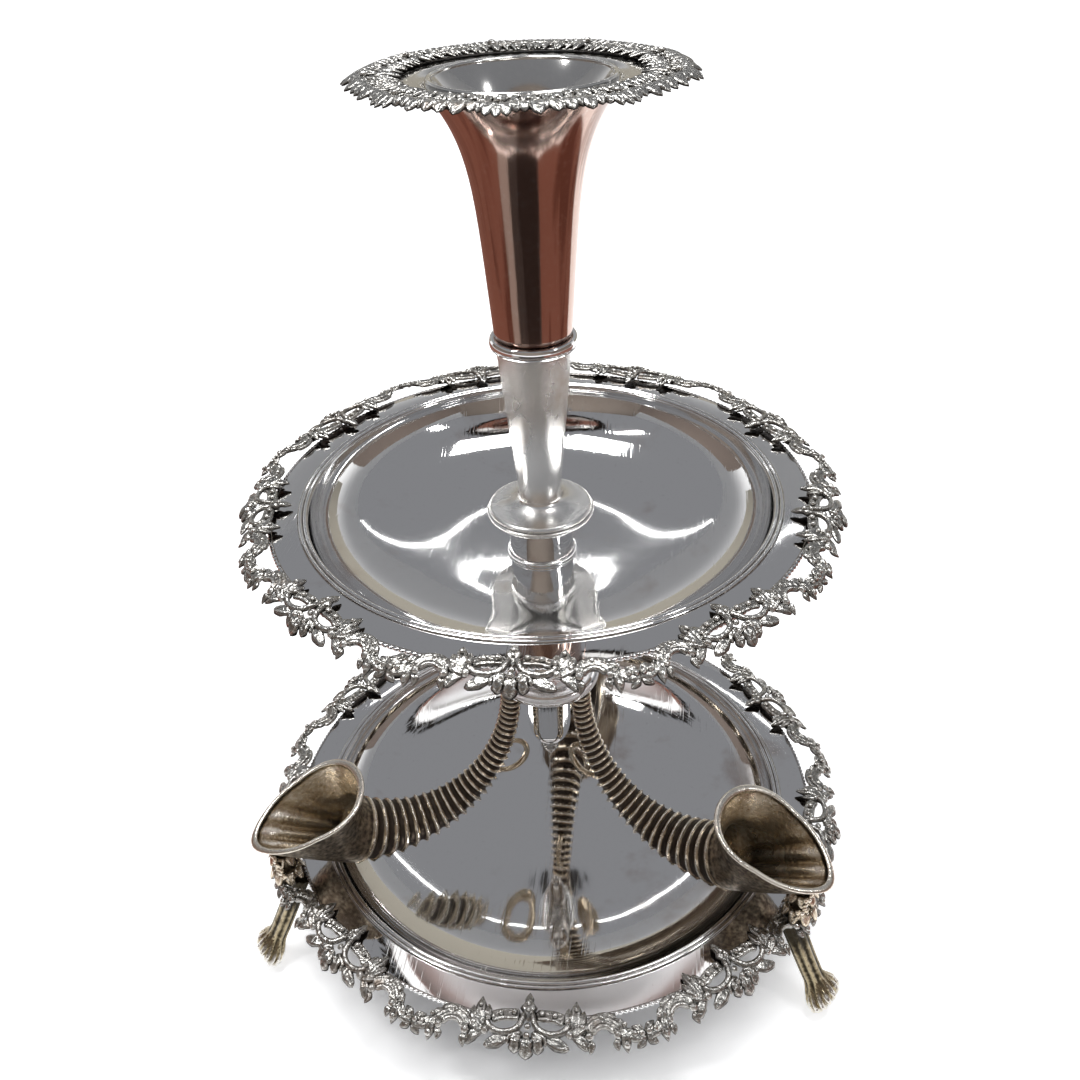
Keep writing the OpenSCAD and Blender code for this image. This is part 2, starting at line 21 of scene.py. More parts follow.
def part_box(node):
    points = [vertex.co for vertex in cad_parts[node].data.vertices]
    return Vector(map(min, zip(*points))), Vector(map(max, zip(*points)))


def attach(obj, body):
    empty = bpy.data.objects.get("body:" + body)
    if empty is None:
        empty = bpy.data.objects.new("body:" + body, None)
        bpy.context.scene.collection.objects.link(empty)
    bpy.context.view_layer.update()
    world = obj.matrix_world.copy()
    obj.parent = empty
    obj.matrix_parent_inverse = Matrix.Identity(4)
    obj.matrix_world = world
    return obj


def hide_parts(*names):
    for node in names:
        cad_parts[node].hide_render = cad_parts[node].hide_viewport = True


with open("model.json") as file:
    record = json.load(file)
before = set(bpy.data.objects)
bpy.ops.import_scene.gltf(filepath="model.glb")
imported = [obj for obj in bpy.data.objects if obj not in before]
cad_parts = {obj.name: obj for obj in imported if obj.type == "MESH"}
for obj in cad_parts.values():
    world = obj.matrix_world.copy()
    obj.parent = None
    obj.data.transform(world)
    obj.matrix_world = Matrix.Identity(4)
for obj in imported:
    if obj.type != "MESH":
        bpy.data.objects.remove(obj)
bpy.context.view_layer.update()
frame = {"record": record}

Array = NDArray[np.float64]
Colour = tuple[float, float, float]
Point = tuple[float, float, float]
Pair = tuple[float, float]
MM = 0.001
TAU = 2 * math.pi
UP = np.array([0.0, 0.0, 1.0])
LOG = logging.getLogger("epergne")


class Body(Enum):
    """CAD bodies that pieces ride on."""

    BASE = "base"
    VASE = "vase"
    WASHER = "washer"
    FINIAL = "finial"


class Side(Enum):
    """Thirds of a turn that horns, sprays, tendrils and feet stand at, in degrees from +X."""

    BACK = 90
    LEFT = 210
    RIGHT = 330

    def node(self, stem: str) -> str:
        """Name of the CAD node of that kind on this side."""
        return f"{stem}_{self.name.lower()}"


class Extent(NamedTuple):
    """Reach of a CAD node along +X, and its lowest and highest points, in millimetres."""

    radius: float
    low: float
    high: float

    @property
    def height(self) -> float:
        """Distance from the lowest to the highest point."""
        return self.high - self.low


def extent(node: str) -> Extent:
    """Size of a CAD node, from its box at rest."""
    low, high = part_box(node)
    return Extent(high[0] / MM, low[2] / MM, high[2] / MM)


def smooth(low: float, high: float, value: Array) -> Array:
    """Smooth step: 0 below low, 1 above high, 3t^2 - 2t^3 between."""
    t = np.clip((np.asarray(value, float) - low) / (high - low), 0, 1)
    return t * t * (3 - 2 * t)


def around(count: int) -> Array:
    """Evenly spaced angles of one full turn."""
    return np.linspace(0, TAU, count, endpoint=False)


def unit(vectors: Array) -> Array:
    """Vectors of the last axis divided by their lengths."""
    return vectors / np.maximum(np.linalg.norm(vectors, axis=-1, keepdims=True), 1e-9)


def bezier(points: Sequence[Sequence[float]], t: Array) -> Array:
    """Cubic Bezier curve of four control points at each share of t."""
    p = np.asarray(points, float)
    t = np.asarray(t, float)[:, None]
    return (1 - t) ** 3 * p[0] + 3 * t * (1 - t) ** 2 * p[1] + 3 * t * t * (1 - t) * p[2] + t**3 * p[3]


def bezier_way(points: Sequence[Sequence[float]], t: Array) -> Array:
    """Unit direction of a cubic Bezier curve: its derivative at each share of t, divided by its length."""
    p = np.asarray(points, float)
    t = np.asarray(t, float)[:, None]
    return unit((1 - t) ** 2 * (p[1] - p[0]) + 2 * t * (1 - t) * (p[2] - p[1]) + t * t * (p[3] - p[2]))


def spline(points: Sequence[Sequence[float]], count: int) -> Array:
    """Catmull-Rom curve: cubic spans through the points, sloping at each point as its neighbours' chord.

    Args:
        points: Points to pass through.
        count: Number of points to return.

    Returns:
        Points evenly spaced in the curve's parameter.
    """
    p = np.asarray(points, float)
    ends = np.vstack([2 * p[0] - p[1], p, 2 * p[-1] - p[-2]])
    s = np.linspace(0, len(p) - 1, count)
    i = np.minimum(s.astype(int), len(p) - 2)
    t = (s - i)[:, None]
    a, b, c, d = (ends[i + k] for k in range(4))
    return 0.5 * (2 * b + (c - a) * t + (2 * a - 5 * b + 4 * c - d) * t**2 + (3 * b - a - 3 * c + d) * t**3)


def rounded(points: Sequence[Sequence[float]], radius: float, steps: int = 4, closed: bool = False) -> Array:
    """Rounds an outline's corners: each becomes a parabola between points on its two legs.

    Args:
        points: Corners of the outline.
        radius: Distance of the parabola's ends from the corner, kept under half of a leg.
        steps: Points on each parabola.
        closed: True where the last corner joins the first.

    Returns:
        The rounded outline.
    """
    p = np.asarray(points, float)

    def toward(other: Array) -> Array:
        """Point on each leg, radius away from its corner."""
        leg = other - p
        length = np.linalg.norm(leg, axis=1, keepdims=True)
        return p + leg * np.minimum(radius / np.maximum(length, 1e-9), 0.45)

    a, b = toward(np.roll(p, 1, 0)), toward(np.roll(p, -1, 0))
    t = np.linspace(0, 1, steps)[None, :, None]
    arcs = (1 - t) ** 2 * a[:, None] + 2 * t * (1 - t) * p[:, None] + t * t * b[:, None]
    if closed:
        return arcs.reshape(-1, 2)
    return np.vstack([p[:1], arcs[1:-1].reshape(-1, 2), p[-1:]])


def leaf_width(t: Array, peak: float, tip: float) -> Array:
    """Half width of a leaf: a square root up to its peak, then a power down to its tip, never quite 0."""
    t = np.asarray(t, float)
    grow = np.sqrt(np.clip(t / peak, 0, 1))
    fall = np.clip((1 - t) / (1 - peak), 0, 1) ** tip
    return np.maximum(np.where(t < peak, grow, fall), 0.04)


@dataclass
class Surface:
    """A grid of points in millimetres that closes round its columns.

    Attributes:
        points: Rows by columns by 3.
        relief: Rows by columns, 0 in a hollow or where shade is painted to 1 on a crest or where a highlight
            is painted.
        ring: True where the last row joins the first; both ends are capped otherwise.
    """

    points: Array
    relief: Array
    ring: bool = False

    def bent(self, change: Callable[[Array], Array]) -> "Surface":
        """The same surface with each point changed."""
        return Surface(change(self.points), self.relief, self.ring)

    def turned(self, degrees: float) -> "Surface":
        """The same surface turned about Z."""
        c, s = math.cos(math.radians(degrees)), math.sin(math.radians(degrees))
        turn = np.array([[c, s, 0], [-s, c, 0], [0, 0, 1]])
        return self.bent(lambda p: p @ turn)

    def mirrored(self) -> "Surface":
        """The same surface with its first coordinate reversed."""
        return self.bent(lambda p: p * np.array([-1.0, 1.0, 1.0]))

    def vertices(self) -> tuple[Array, Array]:
        """Points and reliefs in one list, with the middle of each end behind them."""
        flat, shade = self.points.reshape(-1, 3), self.relief.reshape(-1)
        if self.ring:
            return flat, shade
        middles = self.points[[0, -1]].mean(axis=1)
        return np.vstack([flat, middles]), np.append(shade, self.relief[[0, -1]].mean(axis=1))

    def faces(self) -> tuple[Array, Array]:
        """Four-cornered cells of the grid and triangles of its ends, all facing outwards.

        The cells' sense is reversed where the volume that they enclose comes out below 0.

        Returns:
            Corner indices of the cells and of the triangles.
        """
        rows, cols = self.relief.shape
        i = np.arange(rows if self.ring else rows - 1)[:, None]
        j = np.arange(cols)[None, :]
        k, n = (j + 1) % cols, (i + 1) % rows
        cells = np.stack(np.broadcast_arrays(i * cols + j, i * cols + k, n * cols + k, n * cols + j), -1)
        cells = cells.reshape(-1, 4)
        ends = np.zeros((0, 3), int)
        if not self.ring:
            j, k, last = j[0], k[0], (rows - 1) * cols
            hub = np.full(cols, rows * cols)
            ends = np.vstack([np.stack([hub, k, j], 1), np.stack([hub + 1, last + j, last + k], 1)])
        p = self.vertices()[0]
        p = p - p.mean(axis=0)
        corners = np.vstack([cells[:, [0, 1, 2]], cells[:, [0, 2, 3]], ends])
        volume = np.einsum("ij,ij->", p[corners[:, 0]], np.cross(p[corners[:, 1]], p[corners[:, 2]]))
        return (cells, ends) if volume > 0 else (cells[:, ::-1], ends[:, ::-1])


def lathe(profile: Array, columns: int = 160, ring: bool = False, relief: float | Array = 0.6) -> Surface:
    """Turns a profile of radius and height about Z.

    Args:
        profile: Radii and heights.
        columns: Points round each row.
        ring: True for a closed outline clear of the axis.
        relief: One relief for all, or one for each point of the profile.

    Returns:
        The turned surface.
    """
    a = around(columns)
    r, z = np.asarray(profile, float).T[:, :, None]
    points = np.stack(np.broadcast_arrays(r * np.cos(a), r * np.sin(a), z), -1)
    shade = np.broadcast_to(np.asarray(relief, float).reshape(-1, 1), points.shape[:2])
    return Surface(points, np.array(shade), ring)


def bead(centre: Point, radius: float, flat: float = 0.8, rows: int = 6, columns: int = 10) -> Surface:
    """A bead: a sphere of latitudes and longitudes, pressed to a share of its height."""
    b = np.linspace(-0.46, 0.46, rows) * math.pi
    ball = lathe(np.stack([radius * np.cos(b), radius * flat * np.sin(b)], 1), columns)
    # Painted light: the lower half is dark as painted shade and the top light as painted highlight.
    shade = np.broadcast_to((0.35 + 0.65 * smooth(-0.6, 0.5, np.sin(b)))[:, None], (rows, columns))
    return Surface(ball.points + np.array(centre), np.array(shade))


def strip(
    path: Array, half_w: Array, half_h: Array, folds: float = 0.0, ridges: int = 3, columns: int = 14
) -> Surface:
    """A raised strip along a path: an ellipse at each row, with lengthwise folds across its top.

    At an angle a round the ellipse the point lies half_w cos a to the side and half_h sin a up, the
    top times 1 + folds cos(ridges pi cos a) and the underside at 0.45 of its depth.

    Args:
        path: Points of the strip's middle, as along, out and up.
        half_w: Half width at each point.
        half_h: Half height at each point.
        folds: Share by which the folds rise and sink.
        ridges: Number of half waves from the middle to an edge.
        columns: Points round each row.

    Returns:
        The strip's surface.
    """
    way = np.gradient(path, axis=0)
    side = unit(np.stack([-way[:, 1], way[:, 0], np.zeros(len(way))], 1))
    a = around(columns)
    x, y = np.cos(a), np.sin(a)
    wave = np.cos(ridges * math.pi * x)
    lift = np.where(y > 0, np.abs(y) ** 0.75 * (1 + folds * wave), 0.45 * y)
    points = (
        path[:, None]
        + np.asarray(half_w)[:, None, None] * x[None, :, None] * side[:, None]
        + np.asarray(half_h)[:, None, None] * lift[None, :, None] * UP
    )
    # Painted light: the underside and low sides go dark as painted shade (partly tarnish in the crevices),
    # and the top and the folds' crests go light as painted highlight.
    shade = np.clip(0.2 + 0.6 * y + 0.8 * folds * wave * (y > 0), 0, 1)
    return Surface(points, np.broadcast_to(shade, points.shape[:2]).copy())


@dataclass(frozen=True)
class LeafCut:
    """How a cast leaf is cut.

    Attributes:
        peak: Share of its length at which it is widest.
        tip: Power by which it narrows to its tip, blunter when small.
        folds: Share by which lengthwise folds rise and sink.
        rows: Points along it.
        lobes: Notches along its edges, 0 for none.
        notch: Depth of a notch, as a share of the width.
    """

    peak: float = 0.45
    tip: float = 0.6
    folds: float = 0.28
    rows: int = 14
    lobes: int = 0
    notch: float = 0.32


class Cut(Enum):
    """Cuts of the leaves on borders and sprays."""

    PLAIN = LeafCut()
    SHIELD = LeafCut(0.4, 0.6, 0.2, 20, 3)
    PENDANT = LeafCut(0.68, 0.28, 0.34, 18, 3)
    PETAL = LeafCut(0.68, 0.28, 0.34, 16, 3)
    WEB = LeafCut(0.5, 0.4)
    BLUNT = LeafCut(0.55, 0.4)
    VINE = LeafCut(0.45, 0.55, 0.34, 18, 2)
    SLIM = LeafCut(0.5, 0.5, rows=16)
    DROP = LeafCut(0.5, 0.45, 0.3, 16, 2)
    BUD = LeafCut(rows=10)
    TWIG = LeafCut(rows=12)
    SMALL_SHIELD = LeafCut(rows=12, lobes=2)
    SMALL_PETAL = LeafCut(0.62, 0.4, 0.3, 11)
    SMALL_OUTER = LeafCut(0.6, 0.36, 0.3, 11)
    SMALL_INNER = LeafCut(rows=11)
    SPRIG = LeafCut(0.6, 0.36)
    BLOSSOM = LeafCut(0.65, 0.42, 0.2, 9)


def leaf(points: Sequence[Point], half_w: float, half_h: float, cut: Cut = Cut.PLAIN) -> Surface:
    """A cast leaf: a strip along a spline, as wide as leaf_width says, notched and folded as its cut says."""
    c = cut.value
    t = np.linspace(0, 1, c.rows)
    w = leaf_width(t, c.peak, c.tip)
    notched = 1 - c.notch * (0.5 + 0.5 * np.cos(TAU * c.lobes * t)) if c.lobes else 1.0
    return strip(spline(points, c.rows), half_w * w * notched, half_h * (0.3 + 0.7 * w), c.folds)


def ribbon(
    points: Sequence[Point], half_w: float, half_h: float, folds: float = 0.0, rows: int = 24
) -> Surface:
    """A cast ribbon: a strip along a spline of nearly even width, with rounded ends."""
    t = np.linspace(0, 1, rows)
    w = np.maximum(np.minimum(1, np.sqrt(12 * np.minimum(t, 1 - t))), 0.15)
    return strip(spline(points, rows), half_w * w, half_h * w, folds, ridges=1)


def wire(path: Array, radius: Array, across: Array, columns: int = 14) -> Surface:
    """A round wire along a path in a plane: a circle at each row, square to the path.

    Args:
        path: Points of the middle of the wire.
        radius: Radius at each point.
        across: Unit normal of the plane that the path lies in.
        columns: Points round each row.

    Returns:
        The wire's surface.
    """
    normal = unit(np.cross(np.gradient(path, axis=0), across))
    a = around(columns)[None, :, None]
    ring = np.cos(a) * normal[:, None] + np.sin(a) * across
    points = path[:, None] + np.asarray(radius)[:, None, None] * ring
    return Surface(points, np.full(points.shape[:2], 0.6))


class Graph:
    """Short calls that add and join nodes of one node tree."""

    def __init__(self, tree: bpy.types.NodeTree) -> None:
        """Keeps the tree that nodes are added to."""
        self.tree = tree

    def add(
        self, kind: str, inputs: dict[int | str, object] | None = None, **settings: object
    ) -> bpy.types.Node:
        """Adds a node.

        Args:
            kind: Node type without its ShaderNode prefix.
            inputs: Values or sockets for its inputs, by name or index.
            settings: Properties of the node.

        Returns:
            The new node.
        """
        node = self.tree.nodes.new("ShaderNode" + kind)
        for name, value in settings.items():
            setattr(node, name, value)
        for name, value in (inputs or {}).items():
            self.put(node.inputs[name], value)
        return node

    def put(self, socket: bpy.types.NodeSocket, value: object) -> None:
        """Joins a socket to an input, or sets the input's value."""
        if isinstance(value, bpy.types.NodeSocket):
            self.tree.links.new(value, socket)
        elif isinstance(value, tuple) and socket.type == "RGBA":
            socket.default_value = (*value, 1.0)
        else:
            socket.default_value = value

    def math(self, operation: str, *values: object) -> bpy.types.NodeSocket:
        """Result of a Math node."""
        return self.add("Math", dict(enumerate(values)), operation=operation).outputs[0]

    def blend(self, factor: object, a: object, b: object) -> bpy.types.NodeSocket:
        """Mix of two colours."""
        return self.add("Mix", {0: factor, 6: a, 7: b}, data_type="RGBA").outputs[2]

    def step(
        self, value: object, low: object, high: object, to: Pair = (0, 1)
    ) -> bpy.types.NodeSocket:
        """Smooth step of a value from low to high, onto the range given."""
        inputs = {"Value": value, "From Min": low, "From Max": high, "To Min": to[0], "To Max": to[1]}
        return self.add("MapRange", inputs, interpolation_type="SMOOTHSTEP").outputs[0]

    def plus(self, value: object, other: object, share: object) -> bpy.types.NodeSocket:
        """A value plus a share of another."""
        return self.math("ADD", value, self.math("MULTIPLY", other, share))

    def place(self) -> bpy.types.NodeSocket:
        """Object coordinates, in metres."""
        return self.add("TexCoord").outputs["Object"]

    def noise(self, vector: object, scale: object, detail: float, warp: float = 0.0) -> bpy.types.NodeSocket:
        """Value of a noise texture, about 0.25 to 0.75."""
        inputs = {"Vector": vector, "Scale": scale, "Detail": detail, "Distortion": warp}
        return self.add("TexNoise", inputs).outputs[0]


# Noise waves to a metre of grit at the edges of tarnish, rubbing and painted light and shade, broad dents,
# cast skin and drawn-out scratches.
GRIT_SCALE = 420.0
DENT_SCALE = 26.0
SKIN_SCALE = 520.0
HAIRLINE_SCALE = (900.0, 14.0, 60.0)


class Effect(Enum):
    """Shader node groups that the finishes share."""

    STAIN = "stain_patches"
    RELIEF = "relief_shade"
    HAIRLINES = "hairlines"
    TURNING = "turning_lines"
    STREAKS = "lengthwise_streaks"

    def tree(self) -> bpy.types.NodeTree:
        """The group's node tree, built on first use."""
        made = bpy.data.node_groups.get(self.value)
        return made if made else BUILDERS[self](self.value)


def new_group(
    name: str, inputs: Sequence[str], outputs: Sequence[str]
) -> tuple[Graph, bpy.types.Node, bpy.types.Node]:
    """A new shader node group of float sockets.

    Args:
        name: The group's name.
        inputs: Names of its inputs.
        outputs: Names of its outputs.

    Returns:
        Its graph, its input node and its output node.
    """
    tree = bpy.data.node_groups.new(name, "ShaderNodeTree")
    for label in inputs:
        tree.interface.new_socket(label, in_out="INPUT", socket_type="NodeSocketFloat")
    for label in outputs:
        tree.interface.new_socket(label, in_out="OUTPUT", socket_type="NodeSocketFloat")
    return Graph(tree), tree.nodes.new("NodeGroupInput"), tree.nodes.new("NodeGroupOutput")


def turned_vector(g: Graph, round_scale: float, length_scale: float) -> bpy.types.NodeSocket:
    """Coordinates of a turned piece: direction round Z by one scale, radius and height by another."""
    x, y, z = g.add("SeparateXYZ", {0: g.place()}).outputs
    radius = g.math("SQRT", g.plus(g.math("MULTIPLY", x, x), y, y))
    safe = g.math("ADD", radius, MM)
    along = g.math("MULTIPLY", g.plus(radius, z, 0.8), length_scale)
    parts = [g.math("MULTIPLY", g.math("DIVIDE", part, safe), round_scale) for part in (x, y)]
    return g.add("CombineXYZ", {0: parts[0], 1: parts[1], 2: along}).outputs[0]


def build_stain(name: str) -> bpy.types.NodeTree:
    """Tarnish patches: warped noise cut off at a level that Amount lowers."""
    g, given, result = new_group(name, ["Scale", "Amount"], ["Mask"])
    where = g.place()
    wide = g.noise(where, given.outputs["Scale"], 5.0, 0.6)
    fine = g.noise(where, g.math("MULTIPLY", given.outputs["Scale"], 5.0), 3.0)
    both = g.plus(g.math("MULTIPLY", wide, 0.75), fine, 0.25)
    low = g.math("SUBTRACT", 0.68, g.math("MULTIPLY", given.outputs["Amount"], 0.36))
    g.put(result.inputs["Mask"], g.step(both, low, g.math("ADD", low, 0.2)))
    return g.tree


def build_relief(name: str) -> bpy.types.NodeTree:
    """Darkening in hollows and on undersides, partly tarnish and partly painted shade, and brightening on
    crests and tops, partly rubbing and partly painted highlight, from the relief attribute roughened by
    noise.
    """
    g, given, result = new_group(name, ["Soil", "Rub"], ["Soil", "Rub"])
    relief = g.add("Attribute", attribute_name="relief").outputs["Fac"]
    grit = g.noise(g.place(), GRIT_SCALE, 4.0)
    level = g.plus(relief, g.math("SUBTRACT", grit, 0.5), 0.5)
    for effect, (low, high) in (("Soil", (0.5, 0.1)), ("Rub", (0.6, 0.95))):
        g.put(result.inputs[effect], g.math("MULTIPLY", g.step(level, low, high), given.outputs[effect]))
    return g.tree


def build_hairlines(name: str) -> bpy.types.NodeTree:
    """Hairline scratches: three noises drawn out along three directions, each kept only at its crests."""
    g, given, result = new_group(name, ["Amount"], ["Height"])
    where = g.place()
    lines: object = 0.0
    for turn, seed in ((0.4, 0.0), (1.5, 3.1), (2.6, 7.7)):
        turned = {"Location": (seed,) * 3, "Rotation": (0.3, 0.2, turn), "Scale": HAIRLINE_SCALE}
        drawn = g.noise(g.add("Mapping", {"Vector": where, **turned}).outputs[0], 1.0, 1.0)
        lines = g.math("MAXIMUM", lines, g.step(drawn, 0.62, 0.74))
    g.put(result.inputs["Height"], g.math("MULTIPLY", lines, given.outputs["Amount"]))
    return g.tree


def build_turning(name: str) -> bpy.types.NodeTree:
    """Marks of the lathe: noise that changes fast along the profile and slowly round the piece."""
    g, given, result = new_group(name, ["Amount"], ["Height"])
    fine = g.noise(turned_vector(g, 1.2, 2600.0), 1.0, 2.0)
    wide = g.noise(turned_vector(g, 0.8, 420.0), 1.0, 2.0)
    g.put(result.inputs["Height"], g.math("MULTIPLY", g.plus(wide, fine, 0.5), given.outputs["Amount"]))
    return g.tree


def build_streaks(name: str) -> bpy.types.NodeTree:
    """Streaks down a turned piece, partly wear and partly painted reflection: noise that changes round it and
    hardly along it.
    """
    g, given, result = new_group(name, ["Amount"], ["Mask"])
    drawn = g.noise(turned_vector(g, 3.2, 9.0), 1.0, 3.0, 0.3)
    low = g.math("SUBTRACT", 0.66, g.math("MULTIPLY", given.outputs["Amount"], 0.3))
    g.put(result.inputs["Mask"], g.step(drawn, low, g.math("ADD", low, 0.12)))
    return g.tree


BUILDERS: dict[Effect, Callable[[str], bpy.types.NodeTree]] = {
    Effect.STAIN: build_stain,
    Effect.RELIEF: build_relief,
    Effect.HAIRLINES: build_hairlines,
    Effect.TURNING: build_turning,
    Effect.STREAKS: build_streaks,
}


@dataclass(frozen=True)
class Finish:
    """One state of the plate.

    Attributes:
        slot: Material slot of the record.
        tone: Colour of the clean metal.
        stain: Colour of tarnish patches.
        soil: Colour of tarnish in hollows and of painted shade on undersides and in deep bores.
        rub: Colour of rubbed crests and of painted highlights on the tops of beads and strips.
        stain_size: Patches to a metre.
        stain_amount: How far patches spread, 0 to 1.
        soil_amount: How far hollows darken, with painted shade.
        rub_amount: How far crests brighten, with painted highlights.
        gloss: Roughness of clean and of stained metal.
        lines: Height of scratches or lathe marks, in millimetres.
        dents: Height of broad unevenness, in millimetres.
        turning: True for marks of the lathe, false for loose hairlines.
        streaks: How far streaks of the stain's colour spread down the darkened part of a turned piece, partly
            wear and partly painted reflection.
        soil_rough: Roughness added where tarnish and painted shade lie.
        rub_rough: Roughness added where rubbing and painted highlights lie.
        grain: Height of the cast skin's grain, in millimetres.
    """

    slot: str
    tone: Colour
    stain: Colour
    soil: Colour = (0.03, 0.024, 0.018)
    rub: Colour = (0.9, 0.89, 0.86)
    stain_size: float = 22.0
    stain_amount: float = 0.4
    soil_amount: float = 0.0
    rub_amount: float = 0.0
    gloss: Pair = (0.1, 0.3)
    lines: float = 0.004
    dents: float = 0.1
    turning: bool = False
    streaks: float = 0.0
    soil_rough: float = 0.3
    rub_rough: float = 0.0
    grain: float = 0.0

    def material(self) -> bpy.types.Material:
        """The finish's material, built on first use."""
        made = bpy.data.materials.get(self.slot + "_finish")
        return made if made else self.build()

    def build(self) -> bpy.types.Material:
        """Builds the material: colours mixed by the shared effects, and bump from marks, dents and grain.

        Returns:
            The new material.
        """
        mat = bpy.data.materials.new(self.slot + "_finish")
        mat.use_nodes = True
        g = Graph(mat.node_tree)
        shader = mat.node_tree.nodes["Principled BSDF"]
        shader.inputs["Metallic"].default_value = 1.0
        stains = self.effect(g, Effect.STAIN, Scale=self.stain_size, Amount=self.stain_amount)
        patches = stains.outputs["Mask"]
        shade = self.effect(g, Effect.RELIEF, Soil=self.soil_amount, Rub=self.rub_amount)
        soil, rub = shade.outputs["Soil"], shade.outputs["Rub"]
        dirt_and_shade: object = self.soil
        if self.streaks:
            run = self.effect(g, Effect.STREAKS, Amount=self.streaks).outputs["Mask"]
            dirt_and_shade = g.blend(run, self.soil, self.stain)
        # Rubbed colour, partly painted highlight, laid over tone and stain.
        colour = g.blend(rub, g.blend(patches, self.tone, self.stain), self.rub)
        rough = g.plus(g.step(patches, 0.0, 1.0, self.gloss), soil, self.soil_rough)
        marks = self.effect(g, Effect.TURNING if self.turning else Effect.HAIRLINES, Amount=self.lines)
        height = g.plus(marks.outputs["Height"], g.noise(g.place(), DENT_SCALE, 2.0), self.dents)
        if self.grain:
            height = g.plus(height, g.noise(g.place(), SKIN_SCALE, 2.0), self.grain)
        bump = g.add("Bump", {"Strength": 1.0, "Distance": MM, "Height": height})
        # Darkened where tarnish and painted shade lie.
        g.put(shader.inputs["Base Color"], g.blend(soil, colour, dirt_and_shade))
        g.put(shader.inputs["Roughness"], g.plus(rough, rub, self.rub_rough))
        g.put(shader.inputs["Normal"], bump.outputs[0])
        return mat

    @staticmethod
    def effect(g: Graph, effect: Effect, **values: float) -> bpy.types.Node:
        """Places a shared effect with its own values."""
        node = g.add("Group", node_tree=effect.tree())
        for name, value in values.items():
            node.inputs[name].default_value = value
        return node


FINISHES: dict[str, Finish] = {
    f.slot: f
    for f in (
        Finish(
            "polished_plate", (0.86, 0.855, 0.85), (0.6, 0.525, 0.485), (0.14, 0.11, 0.09),
            (0.83, 0.83, 0.84), stain_size=16.0, stain_amount=0.35, soil_amount=0.85, rub_amount=1.0,
            gloss=(0.045, 0.14), lines=0.006, dents=0.12, rub_rough=0.45,
        ),
        Finish(
            "cast_plate", (0.34, 0.33, 0.31), (0.22, 0.18, 0.15), (0.02, 0.016, 0.013), (0.73, 0.72, 0.69),
            stain_size=40.0, stain_amount=0.4, soil_amount=1.0, rub_amount=0.8, gloss=(0.27, 0.4), grain=0.7,
        ),
        Finish(
            "oxidised_plate", (0.54, 0.45, 0.33), (0.33, 0.25, 0.17), (0.04, 0.03, 0.025), (0.93, 0.89, 0.81),
            stain_size=30.0, stain_amount=0.5, soil_amount=0.95, rub_amount=0.8, gloss=(0.24, 0.4),
            grain=0.25,
        ),
        Finish(
            "worn_plate", (0.37, 0.31, 0.2), (0.24, 0.19, 0.11), (0.02, 0.016, 0.01), (0.86, 0.85, 0.82),
            stain_size=60.0, stain_amount=0.45, soil_amount=0.95, rub_amount=0.8, gloss=(0.24, 0.42),
            grain=0.4,
        ),
        Finish(
            "dull_plate", (0.88, 0.87, 0.85), (0.7, 0.64, 0.57), stain_size=28.0, stain_amount=0.5,
            soil_amount=0.8, rub_amount=0.3, gloss=(0.27, 0.4), lines=0.01, dents=0.3,
        ),
        # The vase's outside: worn copper tone with lengthwise streaks, partly wear and partly painted
        # reflection.
        Finish(
            "vase_plate", (0.66, 0.65, 0.635), (0.27, 0.16, 0.125), (0.52, 0.37, 0.31), (0.8, 0.79, 0.75),
            stain_size=14.0, stain_amount=0.1, soil_amount=0.95, rub_amount=0.5, gloss=(0.12, 0.2),
            dents=0.16, streaks=0.6, soil_rough=0.0,
        ),
        Finish(
            "fittings", (0.5, 0.47, 0.43), (0.25, 0.2, 0.16), stain_size=70.0, stain_amount=0.5,
            soil_amount=0.9, rub_amount=0.5, gloss=(0.2, 0.36), turning=True,
        ),
    )
}

SLOT_OF: dict[str, str] = {part["node"]: part["material_slot"] for part in frame["record"]["subparts"]}


def linked(name: str, data: bpy.types.ID) -> bpy.types.Object:
    """A new object of the data given, linked to the scene."""
    made = bpy.data.objects.new(name, data)
    bpy.context.scene.collection.objects.link(made)
    return made


def add_piece(node: str, surfaces: Sequence[Surface], body: Body = Body.BASE) -> None:
    """Makes one mesh object of several surfaces, in the place of a CAD node.

    Args:
        node: CAD node that the piece stands for.
        surfaces: The piece's closed surfaces, in millimetres.
        body: CAD body that the piece rides on.
    """
    points, shades, corners, totals = [], [], [], []
    start = 0
    for surface in surfaces:
        where, shade = surface.vertices()
        cells, ends = surface.faces()
        points.append(where)
        shades.append(shade)
        corners += [cells.reshape(-1) + start, ends.reshape(-1) + start]
        totals += [np.full(len(cells), 4), np.full(len(ends), 3)]
        start += len(where)
    total = np.concatenate(totals)
    corner = np.concatenate(corners)
    mesh = bpy.data.meshes.new("fine_" + node)
    mesh.vertices.add(start)
    mesh.vertices.foreach_set("co", (np.vstack(points) * MM).ravel())
    mesh.loops.add(len(corner))
    mesh.loops.foreach_set("vertex_index", corner)
    mesh.polygons.add(len(total))
    mesh.polygons.foreach_set("loop_start", np.cumsum(total) - total)
    mesh.polygons.foreach_set("use_smooth", np.ones(len(total), bool))
    mesh.update(calc_edges=True)
    mesh.attributes.new("relief", "FLOAT", "POINT").data.foreach_set("value", np.concatenate(shades))
    slot = SLOT_OF[node]
    mesh.materials.append(FINISHES[slot].material())
    piece = linked("fine_" + node, mesh)
    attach(piece, body.value)
    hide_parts(node)
    LOG.info("%s: %d faces, %s", piece.name, len(total), slot)


def add_sides(stem: str, surfaces: Sequence[Surface]) -> None:
    """Makes one piece along +X three times, turned to each side."""
    for side in Side:
        add_piece(side.node(stem), [s.turned(side.value) for s in surfaces])


